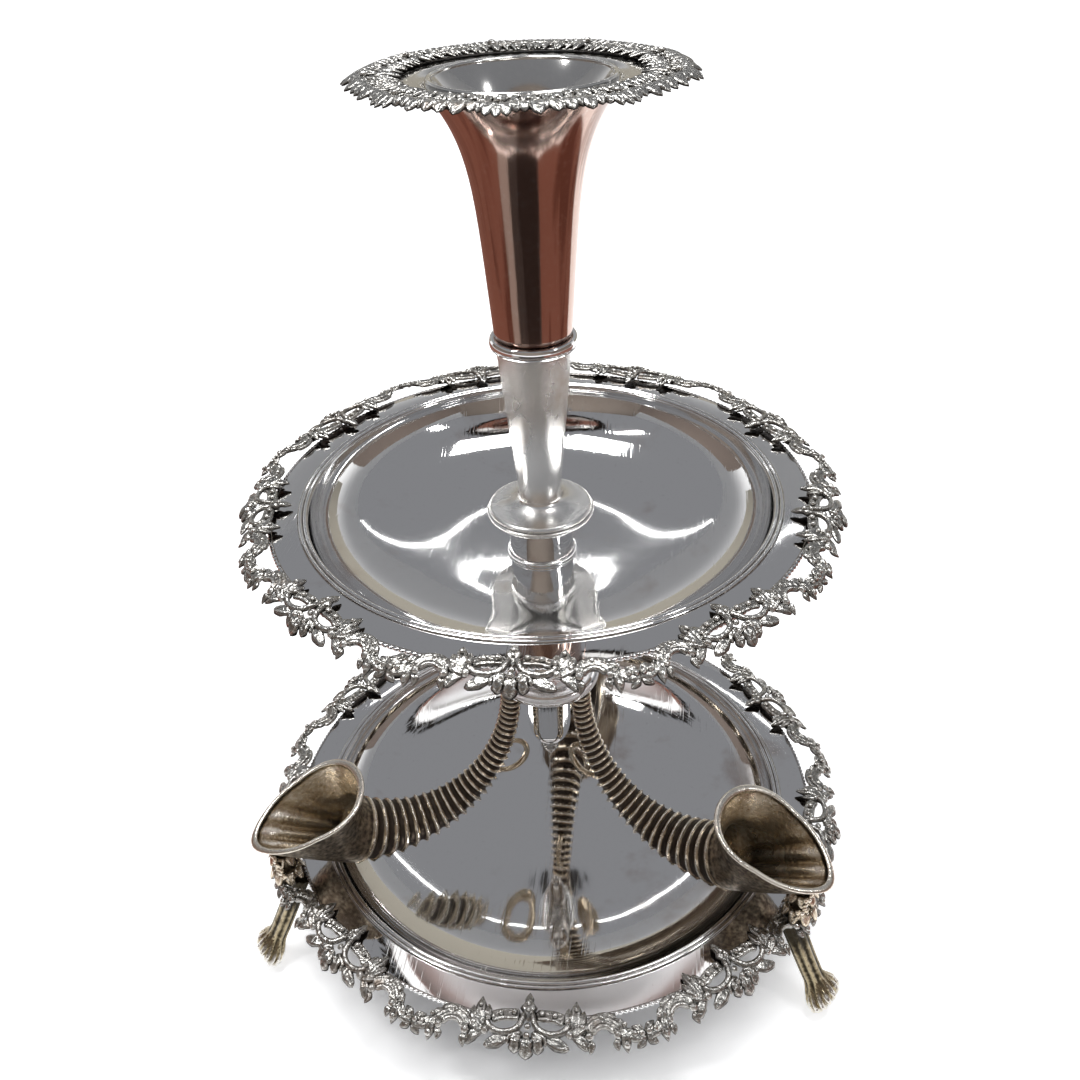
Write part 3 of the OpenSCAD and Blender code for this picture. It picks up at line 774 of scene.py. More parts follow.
@dataclass
class SpunDish:
    """A dish spun from sheet, with two beads round its bowl, a flat rim and a milled edge.

    Its beads and its bowl begin at distances from the edge that are given in bead radii.
    """

    node: str
    edge_r: float
    depth: float
    bead_r: float = 1.1
    bead_rows: int = 11
    beads_at: Pair = (3.1, 1.0)
    bowl_at: float = 4.2
    sheet: float = 1.2
    flat_share: float = 0.3
    power: float = 2.6
    root: float = 1.9
    bore_r: float = 0.6
    teeth_to_mm: float = 0.385
    tooth_rows: int = 4
    tooth_h: float = 0.7
    hoop_w: float = 2.0
    hoop_z: Pair = (-1.5, 0.15)
    plain: float = 0.55

    def bowl(self, radius: float) -> Array:
        """Bowl's curve: flat to a share of the radius, then up along a rounded power curve to the rim."""
        flat = np.linspace(self.bore_r / radius, self.flat_share, 8)[:-1]
        slope = self.flat_share + (1 - self.flat_share) * np.sin(np.linspace(0, math.pi / 2, 44))
        x = np.concatenate([flat, slope])
        rise = np.clip((x - self.flat_share) / (1 - self.flat_share), 0, 1)
        return np.stack([radius * x, -self.depth * (1 - rise**self.power) ** (1 / self.root)], 1)

    def bead_arc(self, centre: float) -> Array:
        """Half a circle over the rim: a bead's section."""
        a = np.linspace(math.pi, 0, self.bead_rows)
        return np.stack([centre + self.bead_r * np.cos(a), self.bead_r * np.sin(a)], 1)

    def build(self) -> None:
        """Makes the dish: turned sheet, dull underneath and darkened beside its beads, and a milled edge."""
        size = extent(self.node)
        rim_r, rim_z = size.radius, size.high - self.bead_r
        bowl_r = self.edge_r - self.bowl_at * self.bead_r
        bowl, under = self.bowl(bowl_r), self.bowl(bowl_r + self.sheet)[::-1] - np.array([0, self.sheet])
        beads = [self.bead_arc(self.edge_r - at * self.bead_r) for at in self.beads_at]
        end, low = rim_r - 0.6, -self.sheet
        flat = rounded([(self.edge_r + 0.4, 0), (end, 0), (end, low), (self.edge_r, low)], 0.5)
        profile = np.vstack([bowl, *beads, flat, under])
        over_bead = 0.15 + 0.4 * np.sin(np.linspace(0, math.pi, self.bead_rows))
        shade = np.concatenate([
            np.full(len(bowl), self.plain), *[over_bead] * len(beads),
            np.full(len(flat), self.plain), np.full(len(under), 1.0),
        ])
        sheet = lathe(profile + np.array([0, rim_z]), 224, relief=shade)
        add_piece(self.node, [sheet, self.milling(rim_r, rim_z)])

    def milling(self, rim_r: float, rim_z: float) -> Surface:
        """Milled edge: a thick hoop whose outer radius waves once a tooth.

        Args:
            rim_r: Radius of the rim.
            rim_z: Height of the rim's top.

        Returns:
            The hoop's surface.
        """
        teeth = round(TAU * rim_r * self.teeth_to_mm)
        columns = teeth * self.tooth_rows
        inner, (low, top) = rim_r - self.hoop_w, self.hoop_z
        section = rounded([(inner, top), (rim_r, top), (rim_r, low), (inner, low)], 0.5, 3, True)
        hoop = lathe(section, columns, True)
        a = np.linspace(0, TAU * teeth, columns, endpoint=False)
        wave = np.abs(np.cos(a / 2))
        radius = np.linalg.norm(hoop.points[..., :2], axis=-1)
        share = smooth(rim_r - 1.2, rim_r - 0.2, radius)
        scale = 1 - share * self.tooth_h * (1 - wave) / radius
        points = hoop.points * np.stack([scale, scale, np.ones_like(scale)], -1)
        points[..., 2] += rim_z
        return Surface(points, 0.2 + 0.7 * np.broadcast_to(wave, share.shape) * share, True)


@dataclass
class BorderRing:
    """Nine pierced castings round a rim, each with one pendant flower.

    The motif is drawn flat, in millimetres of the lower ring: along the rim, out from its edge and up. It is
    scaled across and in its rise, and sinks with the square of its distance past droop_from.
    """

    stem: str
    edge_r: float
    rim_z: float
    across: float
    rise: float
    body: Body = Body.BASE
    droop: float = 0.024
    count: int = 9
    first: float = -90.0
    pitch: float = 102.3
    droop_from: float = 3.0

    def flower(self) -> list[Surface]:
        """The middle of the motif: a shield-shaped bud over the rim and a flower that hangs outside it."""
        return [
            leaf([(0, 1.6, 1.4), (0, -4.6, 3.0), (0, -12.4, 2.0)], 4.6, 2.3, Cut.SHIELD),
            bead((0, -6.0, 5.0), 1.4),
            bead((0, -2.6, 5.0), 1.2),
            bead((0, 4.2, 2.6), 1.7),
            leaf([(0, 7.6, 2.0), (0, 12, 2.8), (0, 16.8, 1.4)], 3.7, 2.8, Cut.PENDANT),
            bead((0, 9.4, 5.0), 1.5),
        ]

    def half(self) -> list[Surface]:
        """One side of the motif, from the flower to the joint with the next casting."""
        arc = np.radians(np.linspace(196, 352, 9))
        scroll_r = 6.1
        scroll = [(33.3 + scroll_r * math.cos(a), 10.6 + scroll_r * math.sin(a), 2.2) for a in arc]
        loop = [
            (1.6, -3.0, 3.0), (2.6, 1.6, 3.2), (4.8, 5.6, 2.8), (9.0, 7.7, 2.6), (13.6, 7.8, 2.6),
            (17.4, 6.0, 3.0), (18.4, 3.2, 3.0),
        ]
        inner_ribbon = [(3.4, -1.2, 2.0), (8, -0.8, 2.4), (13, 0.0, 2.4), (17.6, 2.4, 2.2)]
        low_ribbon = [(27.0, 6.2, 1.8), (30.4, 2.6, 2.2), (35.4, 2.0, 2.2), (40.6, 4.0, 2.0)]
        end_ribbon = [(42.6, 9.4, 2.0), (45.4, 12.0, 2.4), (48.4, 12.8, 2.4), (51.15, 12.6, 2.2)]
        strips = [
            leaf([(1.8, 7.0, 1.8), (4.6, 10.2, 2.6), (5.0, 14.8, 1.0)], 3.2, 2.4, Cut.PETAL),
            ribbon([(2.4, 6.6, 2.4), (4.6, 8.4, 3.2), (7.6, 9.4, 2.6), (8.2, 12.2, 2.0)], 1.1, 1.2, rows=14),
            ribbon(loop, 1.5, 1.9, rows=34),
            ribbon(inner_ribbon, 2.9, 1.6, -0.35, rows=22),
            leaf([(17.6, 5.8, 0.6), (23.4, 5.0, 0.8), (30.6, 4.6, 0.6)], 4.8, 0.8, Cut.WEB),
            leaf([(7.4, 8.6, 1.4), (12.4, 11.0, 1.8), (18.2, 13.4, 1.2)], 3.0, 1.7, Cut.BLUNT),
            leaf([(20.6, 7.4, 1.6), (22.2, 0.6, 3.2), (23.4, -7.2, 2.6)], 3.8, 2.2, Cut.VINE),
            leaf([(21.4, 6.6, 1.8), (24.8, 2.4, 3.0), (26.6, -2.2, 2.4)], 2.7, 1.9),
            leaf([(20.2, 6.0, 2.0), (18.9, 0.6, 3.0), (19.3, -4.2, 2.4)], 2.7, 1.8),
            leaf([(18.0, 9.0, 1.8), (23.4, 6.6, 2.6), (30.2, 1.2, 2.0)], 2.5, 1.8, Cut.SLIM),
            leaf([(19.6, 8.6, 1.6), (23.4, 10.6, 1.8), (26.2, 14.2, 1.0)], 2.5, 1.7, Cut.BLUNT),
            ribbon(scroll, 2.6, 2.2, -0.5, rows=40),
            ribbon(low_ribbon, 2.5, 1.7, -0.3, rows=20),
            leaf([(38.6, 3.4, 1.8), (41.4, 6.0, 2.4), (44.4, 9.8, 2.0)], 2.3, 1.7),
            leaf([(40.4, 7.4, 1.8), (42.2, 11.6, 2.4), (42.4, 17.2, 1.2)], 2.9, 2.1, Cut.DROP),
            leaf([(39.4, 11.2, 1.6), (38.6, 13.6, 1.8), (38.8, 15.8, 1.2)], 1.9, 1.5, Cut.BUD),
            leaf([(27.4, 10.6, 1.6), (27.6, 13.0, 1.8), (26.8, 15.6, 1.0)], 1.9, 1.5, Cut.BUD),
            ribbon(end_ribbon, 2.3, 1.8, -0.25, rows=18),
            leaf([(51.1, 12.0, 2.4), (48.6, 10.0, 3.0), (45.8, 8.4, 2.2)], 1.9, 1.5, Cut.TWIG),
            leaf([(50.9, 12.6, 2.0), (48.8, 15.0, 2.0), (46.4, 16.4, 1.4)], 2.1, 1.5, Cut.TWIG),
        ]
        beads = (
            ((6.4, -1.6, 4.2), 1.6), ((12.7, -0.4, 4.2), 1.5), ((3.4, 10.2, 4.6), 1.2),
            ((18.6, 8.2, 3.4), 1.9), ((18.2, 3.0, 4.6), 1.4), ((27.2, 9.8, 3.4), 1.9),
            ((39.4, 10.8, 3.4), 1.8), ((42.4, 15.4, 4.0), 1.4), ((46.6, 12.2, 4.4), 1.3),
            ((49.6, 12.6, 4.4), 1.3), ((33.6, 2.4, 4.0), 1.3), ((24.4, 6.0, 4.4), 1.4),
            ((22.6, -2.2, 5.4), 1.2), ((43.2, 7.6, 4.2), 1.2),
        )
        return strips + [bead(centre, radius) for centre, radius in beads]

    def laid(self, points: Array) -> Array:
        """Bends motif points round the rim: along becomes an angle, out a radius; the outer part sinks."""
        along, out, up = np.moveaxis(points, -1, 0)
        angle = along * TAU / self.count / self.pitch
        radius = self.edge_r + out * self.across
        drop = self.droop * np.maximum(out - self.droop_from, 0) ** 2
        height = self.rim_z + (up - drop) * self.rise
        return np.stack([radius * np.cos(angle), radius * np.sin(angle), height], -1)

    def build(self) -> None:
        """Makes the castings: one bent motif turned to each place."""
        half = self.half()
        motif = [s.bent(self.laid) for s in [*self.flower(), *half, *(s.mirrored() for s in half)]]
        for i in range(self.count):
            turn = self.first + 360 / self.count * i
            add_piece(f"{self.stem}_{i + 1}", [s.turned(turn) for s in motif], self.body)


@dataclass
class VaseBorder(BorderRing):
    """Nine small castings round the vase's flange: a closed band packed with leaves, flowers and beads.

    Its motif is drawn in millimetres of its own rim.
    """

    pitch: float = 38.05
    droop: float = 0.012
    band_w: float = 7.6
    band_h: float = 0.9
    band_rows: int = 30

    def band(self) -> Surface:
        """The closed band: a flat strip a little longer than the motif."""
        rows = np.ones(self.band_rows)
        path = np.stack([np.linspace(-19.1, 19.1, self.band_rows), 0.6 * rows, 0.7 * rows], 1)
        return strip(path, self.band_w * rows, self.band_h * rows)

    def flower(self) -> list[Surface]:
        """The closed band and the flower in its middle."""
        petals = [
            leaf([(0.6 * u, 3.6, 1.6), (0.85 * u, 7.5, 2.0), (u, out, 0.6)], 2.0, 1.5, Cut.SMALL_PETAL)
            for u, out in ((-5.6, 9.6), (-2.9, 12.4), (0.0, 13.2), (2.9, 12.4), (5.6, 9.6))
        ]
        shield = leaf([(0, 2.5, 1.6), (0, -4, 2.2), (0, -9.6, 1.4)], 2.8, 1.5, Cut.SMALL_SHIELD)
        return [self.band(), shield, *petals, bead((0, 4.2, 3.4), 1.5), bead((0, 0.4, 3.2), 1.1)]

    def half(self) -> list[Surface]:
        """One side of the band: leaves that point out and in by turns, small scrolls and beads."""
        outer = (
            (7.2, 0.4, 9.4, 1.9), (10.2, 1.0, 11.9, 2.6), (14.0, -0.3, 9.0, 1.7), (16.2, 0.5, 10.8, 2.4),
            (18.8, 0.1, 8.8, 1.8),
        )
        inner = (
            (3.8, 0.7, -7.4), (7.2, 0.9, -9.2), (11.2, -0.6, -8.0), (14.4, 0.6, -9.4), (17.8, 0.2, -7.6),
        )
        leaves = [
            leaf([(u, 2.4, 1.5), (u + lean, 6.4, 1.9), (u + 1.6 * lean, end, 0.6)], w, 1.5, Cut.SMALL_OUTER)
            for u, lean, end, w in outer
        ]
        leaves += [
            leaf(
                [(u, 0.6, 1.4), (u + lean, -3.6, 2.0), (u + 1.7 * lean, end, 1.2)], 1.6, 1.3, Cut.SMALL_INNER
            )
            for u, lean, end in inner
        ]
        arc = np.linspace(0.4, 5.2, 7)
        curls = [
            ribbon([(c + 2.0 * math.cos(a), d + 1.8 * math.sin(a), 1.9) for a in arc], 0.75, 0.9, rows=16)
            for c, d in ((5.4, 2.0), (12.2, 1.4), (16.8, 2.2))
        ]
        spots = (
            (2.6, 6.0), (2.4, -2.6), (5.2, 5.6), (5.4, 1.9), (5.6, -4.6), (8.8, 4.8), (9.2, -1.8),
            (9.6, -6.0), (12.2, 1.3), (12.8, -4.8), (12.0, 6.4), (15.0, 6.6), (15.4, -2.4), (16.8, 2.1),
            (16.2, -6.4), (18.6, 5.4), (18.8, -1.2),
        )
        return leaves + curls + [bead((u, d, 2.4), 0.95, rows=5, columns=8) for u, d in spots]


@dataclass
class Horns:
    """Three ribbed horns that widen from the hub to open scoops over the lower rim.

    The lower control points and the scoop's ends are distances out from the rim and up from it.
    """

    rim_r: float
    rim_z: float
    hub_z: float
    tail_r: float = 21.5
    tail_up: float = 0.8
    tail_drop: float = 63.0
    sag_at: Pair = (-74.5, -6.5)
    throat_at: Pair = (-30.5, 18.5)
    tail_d: float = 9.5
    throat_d: float = 35.0
    widen: float = 1.7
    ribs: int = 30
    rib_h: float = 1.5
    rib_at: float = 0.4
    rib_w: float = 0.17
    lobe_h: float = 1.5
    growth: float = 1.1
    wall: float = 2.0
    scoop_w: float = 45.0
    scoop_ends: Pair = (-39.5, 21.5)
    scoop_z: float = 54.5
    scoop_fall: float = 22.0
    egg: float = 0.35
    blunt: float = 0.7
    draw: float = 0.35
    flutes: float = 13.5
    flute_h: float = 1.8
    columns: int = 120

    def path(self) -> list[Pair]:
        """Control points of the centreline, as radius and height."""
        return [
            (self.tail_r, self.hub_z + self.tail_up), (self.tail_r, self.hub_z - self.tail_drop),
            *((self.rim_r + out, self.rim_z + up) for out, up in (self.sag_at, self.throat_at)),
        ]

    def radius(self, t: Array) -> Array:
        """Radius of the horn: from the tail to the throat by a power of the share t."""
        return self.tail_d / 2 + (self.throat_d - self.tail_d) / 2 * np.asarray(t, float) ** self.widen

    def angles(self) -> Array:
        """Angles round the horn, 0 on its upper and inner side."""
        return around(self.columns)

    def rings(self, t: Array, radius: Array) -> Array:
        """Circles square to the centreline.

        Args:
            t: Shares along the centreline.
            radius: Radius at each share, or at each share and angle.

        Returns:
            Rows by columns of points, with the horn along +X.
        """
        t = np.atleast_1d(np.asarray(t, float))
        middle, way = bezier(self.path(), t), bezier_way(self.path(), t)
        normal = np.stack([-way[:, 1], way[:, 0]], 1)
        a = self.angles()
        reach = np.broadcast_to(np.asarray(radius, float).reshape(len(t), -1), (len(t), self.columns))
        across = (reach * np.cos(a))[..., None] * normal[:, None] + middle[:, None]
        return np.stack([across[..., 0], reach * np.sin(a), across[..., 1]], -1)

    def edge(self, inset: float, rise: float) -> Array:
        """Egg-shaped rim of the scoop, from its raised back to its spout.

        Args:
            inset: How far it is drawn in.
            rise: How far it is lifted.

        Returns:
            One point for each angle.
        """
        a = self.angles()
        end = np.where(np.cos(a) < 0, -np.abs(np.cos(a)) ** self.blunt, np.cos(a))
        u = 0.5 - end * (0.5 - inset / self.scoop_w)
        back, tip = (self.rim_r + out for out in self.scoop_ends)
        width = (self.scoop_w / 2 - inset) * np.sin(a) * (1 + self.egg * np.cos(a))
        height = self.rim_z + self.scoop_z - self.scoop_fall * u + rise
        return np.stack([back + (tip - back) * u, width, height], -1)

    def scoop(self, ring: Array, edge: Array, v: Array) -> Array:
        """Scoop's wall: parabolas from a ring to the edge, leaving the ring along the horn."""
        way = bezier_way(self.path(), np.array([1.0]))[0]
        reach = np.linalg.norm(edge - ring, axis=-1, keepdims=True)
        pull = ring + self.draw * reach * np.array([way[0], 0, way[1]])
        v = v[:, None, None]
        return (1 - v) ** 2 * ring + 2 * v * (1 - v) * pull + v * v * edge

    def surface(self) -> Surface:
        """One horn along +X: ribs, scoop, rolled lip, fluted floor and bore, in rows from tail to bore.

        A rib is a narrow bell curve over its share of the length, with a wide furrow behind it. Flutes
        are cosines of the angle round the floor.

        Returns:
            The horn's surface.
        """
        a = self.angles()
        s = np.linspace(0, 1, self.ribs * 8 + 1)
        t = (np.exp(self.growth * s) - 1) / (math.exp(self.growth) - 1)
        phase = (s[:, None] * self.ribs + 0.12 * np.cos(a)) % 1
        rib = np.exp(-(((phase - self.rib_at) / self.rib_w) ** 2))
        fade = smooth(0, 0.02, s)[:, None] * (1 - smooth(0.975, 1, s))[:, None]
        keel = np.exp(-(((np.abs(a - math.pi) - 0.62) / 0.17) ** 2))
        knob = np.sin(math.pi * phase) ** 2 * keel * self.lobe_h * smooth(0.15, 0.6, s)[:, None]
        body = self.rings(t, self.radius(t)[:, None] + (self.rib_h * (rib - 0.5) + knob) * fade)
        throat, bore = (self.rings([1.0], self.throat_d / 2 - inset)[0] for inset in (0.0, self.wall))
        out_edge, in_edge = self.edge(0, 0), self.edge(self.wall, 0)
        v = np.linspace(0, 1, 25)[1:]
        outside = self.scoop(throat, out_edge, v)
        outward = (out_edge - in_edge) / 2
        b = np.linspace(0, math.pi, 9)[1:-1, None, None]
        lip = (out_edge + in_edge) / 2 + 1.45 * outward * np.cos(b) + np.sin(b) * UP * 1.6
        inside = self.scoop(bore, in_edge, v[::-1])
        middle = inside.mean(axis=1, keepdims=True)
        floor = smooth(0.1, -0.5, np.cos(a))
        flute = (0.5 + 0.5 * np.cos(self.flutes * (a - math.pi))) * floor
        reach = smooth(0.0, 0.25, v[::-1]) * (1 - smooth(0.8, 1.0, v[::-1]))
        depth = reach[:, None] * flute * self.flute_h
        inside = inside + unit(middle - inside) * depth[..., None]
        deep = np.linspace(1, 0.34, 20)
        hollow = self.rings(deep, self.radius(deep) - self.wall)
        points = np.concatenate([body, outside, lip, inside, hollow])
        plain = np.ones(self.columns)
        shade = np.concatenate([
            np.maximum(rib, knob / self.lobe_h) * fade + 0.3 * (1 - fade),
            0.24 * np.ones((len(v), 1)) * plain,
            # The lip is bright, partly rubbed and partly painted highlight.
            0.95 * np.ones((len(lip), 1)) * plain,
            # Inside, the flutes' crests are lighter and their furrows darker, partly rubbing and partly
            # painted highlight and shade.
            (0.8 + floor * (0.45 * flute - 0.27)) * np.ones((len(v), 1)),
            # The bore darkens the deeper it goes: painted shade.
            np.linspace(0.85, 0.2, len(deep))[:, None] * plain,
        ])
        return Surface(points, np.clip(shade, 0, 1))

    def tendril(self) -> Surface:
        """Wire loop under the tail: an arc between two points of the underside, thickest in its middle."""
        t = np.array([0.235, 0.36])
        way = bezier_way(self.path(), t)
        ends = bezier(self.path(), t) - (self.radius(t) + 0.8)[:, None] * np.stack([-way[:, 1], way[:, 0]], 1)
        chord = unit(ends[1] - ends[0])
        middle = ends.mean(axis=0) - 3.2 * np.array([-chord[1], chord[0]])
        reach = float(np.linalg.norm(ends[0] - middle))
        to, start = (math.atan2(*(e - middle)[::-1]) for e in ends)
        angle = to + np.linspace(0, (start - to) % TAU, 40)
        path = np.stack([middle[0] + reach * np.cos(angle), 0 * angle, middle[1] + reach * np.sin(angle)], 1)
        thick = 1.25 + 0.45 * np.sin(np.linspace(0, math.pi, 40))
        return wire(path, thick, np.array([0.0, 1.0, 0.0]))

    def build(self) -> None:
        """Makes the three horns and the wire loop under each."""
        horn, tendril = self.surface(), self.tendril()
        for side in Side:
            add_piece(side.node("horn"), [horn.turned(side.value)])
            add_piece(side.node("tendril"), [tendril.turned(side.value)])


@dataclass
class Sprays:
    """Three cast flower sprays that stand on the lower border and carry the scoops."""

    rim_r: float
    out: float = 8.0

    def surfaces(self, low: float, high: float) -> list[Surface]:
        """One spray along +X: a stem, leaves round its foot and its top, and flowers of five petals.

        Args:
            low: Height of its foot.
            high: Height of its top.

        Returns:
            The spray's surfaces.
        """
        h = high - low
        outline = [(6, 0), (5.8, 0.08 * h), (3.4, 0.3 * h), (3.0, 0.6 * h), (3.2, h)]
        sprig = leaf([(0, 2.0, 0.1 * h), (0, 6.4, 0.28 * h), (0, 9.6, 0.02 * h)], 3.0, 1.6, Cut.SPRIG)
        crown = leaf([(0, 2.0, 0.6 * h), (0, 5.4, 0.84 * h), (0, 8.4, 0.66 * h)], 2.6, 1.4, Cut.SPRIG)
        made = [lathe(rounded(outline, 1.5), 24, relief=0.3)]
        for i in range(8):
            made += [sprig.turned(45 * i), crown.turned(45 * i + 22)]
        for across, up in ((-5.8, 0.44), (5.8, 0.44), (-3.2, 0.84), (3.4, 0.8), (0.4, 0.14)):
            made += self.blossom((4.4 - 0.06 * across * across, across, up * h), 4.6 * across)
        made += self.blossom((-4.6, 0.0, 0.55 * h), 180.0)
        shift = np.array([self.rim_r + self.out, 0, low])
        return [s.bent(lambda p: p + shift) for s in made]

    @staticmethod
    def blossom(centre: Point, turn: float) -> list[Surface]:
        """A flower that faces outwards: five petals and a bead, laid flat, tipped up and turned."""
        tip = np.array([[0, 0, 1.0], [0, 1.0, 0], [1.0, 0, 0]])
        flat = [
            leaf([(0, 0.4, 0), (0, 2.6, 1.2), (0, 4.9, 0.5)], 1.8, 1.2, Cut.BLOSSOM).turned(72 * i)
            for i in range(5)
        ]
        flat.append(bead((0, 0, 1.4), 1.5))
        return [s.bent(lambda p: p @ tip).turned(turn).bent(lambda p: p + np.array(centre)) for s in flat]

    def build(self) -> None:
        """Makes the three sprays."""
        size = extent(Side.BACK.node("flower_spray"))
        add_sides("flower_spray", self.surfaces(size.low, size.high))


@dataclass
class Feet:
    """Three cast legs under the lower rim, each ridged like a leaf and ending in a shell toe.

    The upper control points count from the rim's underside and the lower ones from the toe's middle.
    """

    rim_r: float
    under_z: float
    toe_r: float = 181.0
    ankle_w: float = 11.5
    ankle_high: float = 0.8
    flare: float = 3.0
    toe_w: float = 23.0
    toe_high: float = 0.62
    toe_rest: float = 0.13
    top_at: Pair = (-3.5, 9.0)
    bow_at: Pair = (9.5, -13.0)
    ankle_at: Pair = (-15.0, 11.0)
    end_in: float = 3.0
    lobes: int = 7
    ridges: int = 8
    columns: int = 112
    rows: int = 72

    def path(self) -> list[Pair]:
        """Control points of the leg's centreline, as radius and height."""
        toe_z = self.toe_rest * self.toe_w
        return [
            *((self.rim_r + out, self.under_z + up) for out, up in (self.top_at, self.bow_at)),
            (self.toe_r + self.ankle_at[0], toe_z + self.ankle_at[1]), (self.toe_r - self.end_in, toe_z),
        ]

    def surface(self) -> Surface:
        """One leg along +X: ellipses along its curve, ridged like a leaf above and lobed like a shell below.

        Lobes are powers of the cosine of a multiple of the angle, so that the furrows between them
        are narrow. What would lie under the table or in the rim is pressed flat.

        Returns:
            The leg's surface.
        """
        t = np.linspace(0, 1, self.rows)[:, None]
        a = around(self.columns)
        lobe = np.abs(np.cos(self.lobes * a)) ** 0.7
        ridge = 0.5 + 0.5 * np.cos(self.ridges * a)
        swell = np.sin(math.pi / 2 * np.clip((t - 0.68) / 0.2, 0, 1)) ** 2
        nose = np.sqrt(1 - 0.97 * np.clip((t - 0.9 + 0.06 * (1 - lobe)) / 0.1, 0, 1) ** 2)
        ankle_h, toe_h = self.ankle_high * self.ankle_w, self.toe_w * self.toe_high
        half_w = (self.ankle_w + (self.toe_w - self.ankle_w) * swell + self.flare * (1 - t) ** 2) / 2 * nose
        half_h = (ankle_h + (toe_h - ankle_h) * swell) / 2 * nose
        deep = 0.16 + 0.16 * smooth(0.78, 0.95, t)
        wave = swell * deep * (lobe - 0.7) + (1 - swell) * 0.16 * (ridge - 0.5)
        middle, way = bezier(self.path(), t[:, 0]), bezier_way(self.path(), t[:, 0])
        normal = np.stack([-way[:, 1], way[:, 0]], 1)
        across = middle[:, None] + (half_h * (1 + wave) * np.cos(a))[..., None] * normal[:, None]
        points = np.stack([across[..., 0], half_w * (1 + wave) * np.sin(a), across[..., 1]], -1)
        points[..., 2] = np.clip(points[..., 2], 0, self.under_z)
        # Painted shade: the leg's top, tucked under the rim, is dark; lower down, the ridges and the toe's
        # lobes are lighter than the furrows between them.
        shade = swell * (0.3 + 0.7 * lobe) + (1 - swell) * (0.12 + 0.36 * ridge) * smooth(0.2, 0.5, t)
        return Surface(points, np.clip(shade, 0, 1))

    def build(self) -> None:
        """Makes the three feet."""
        add_sides("foot", [self.surface()])


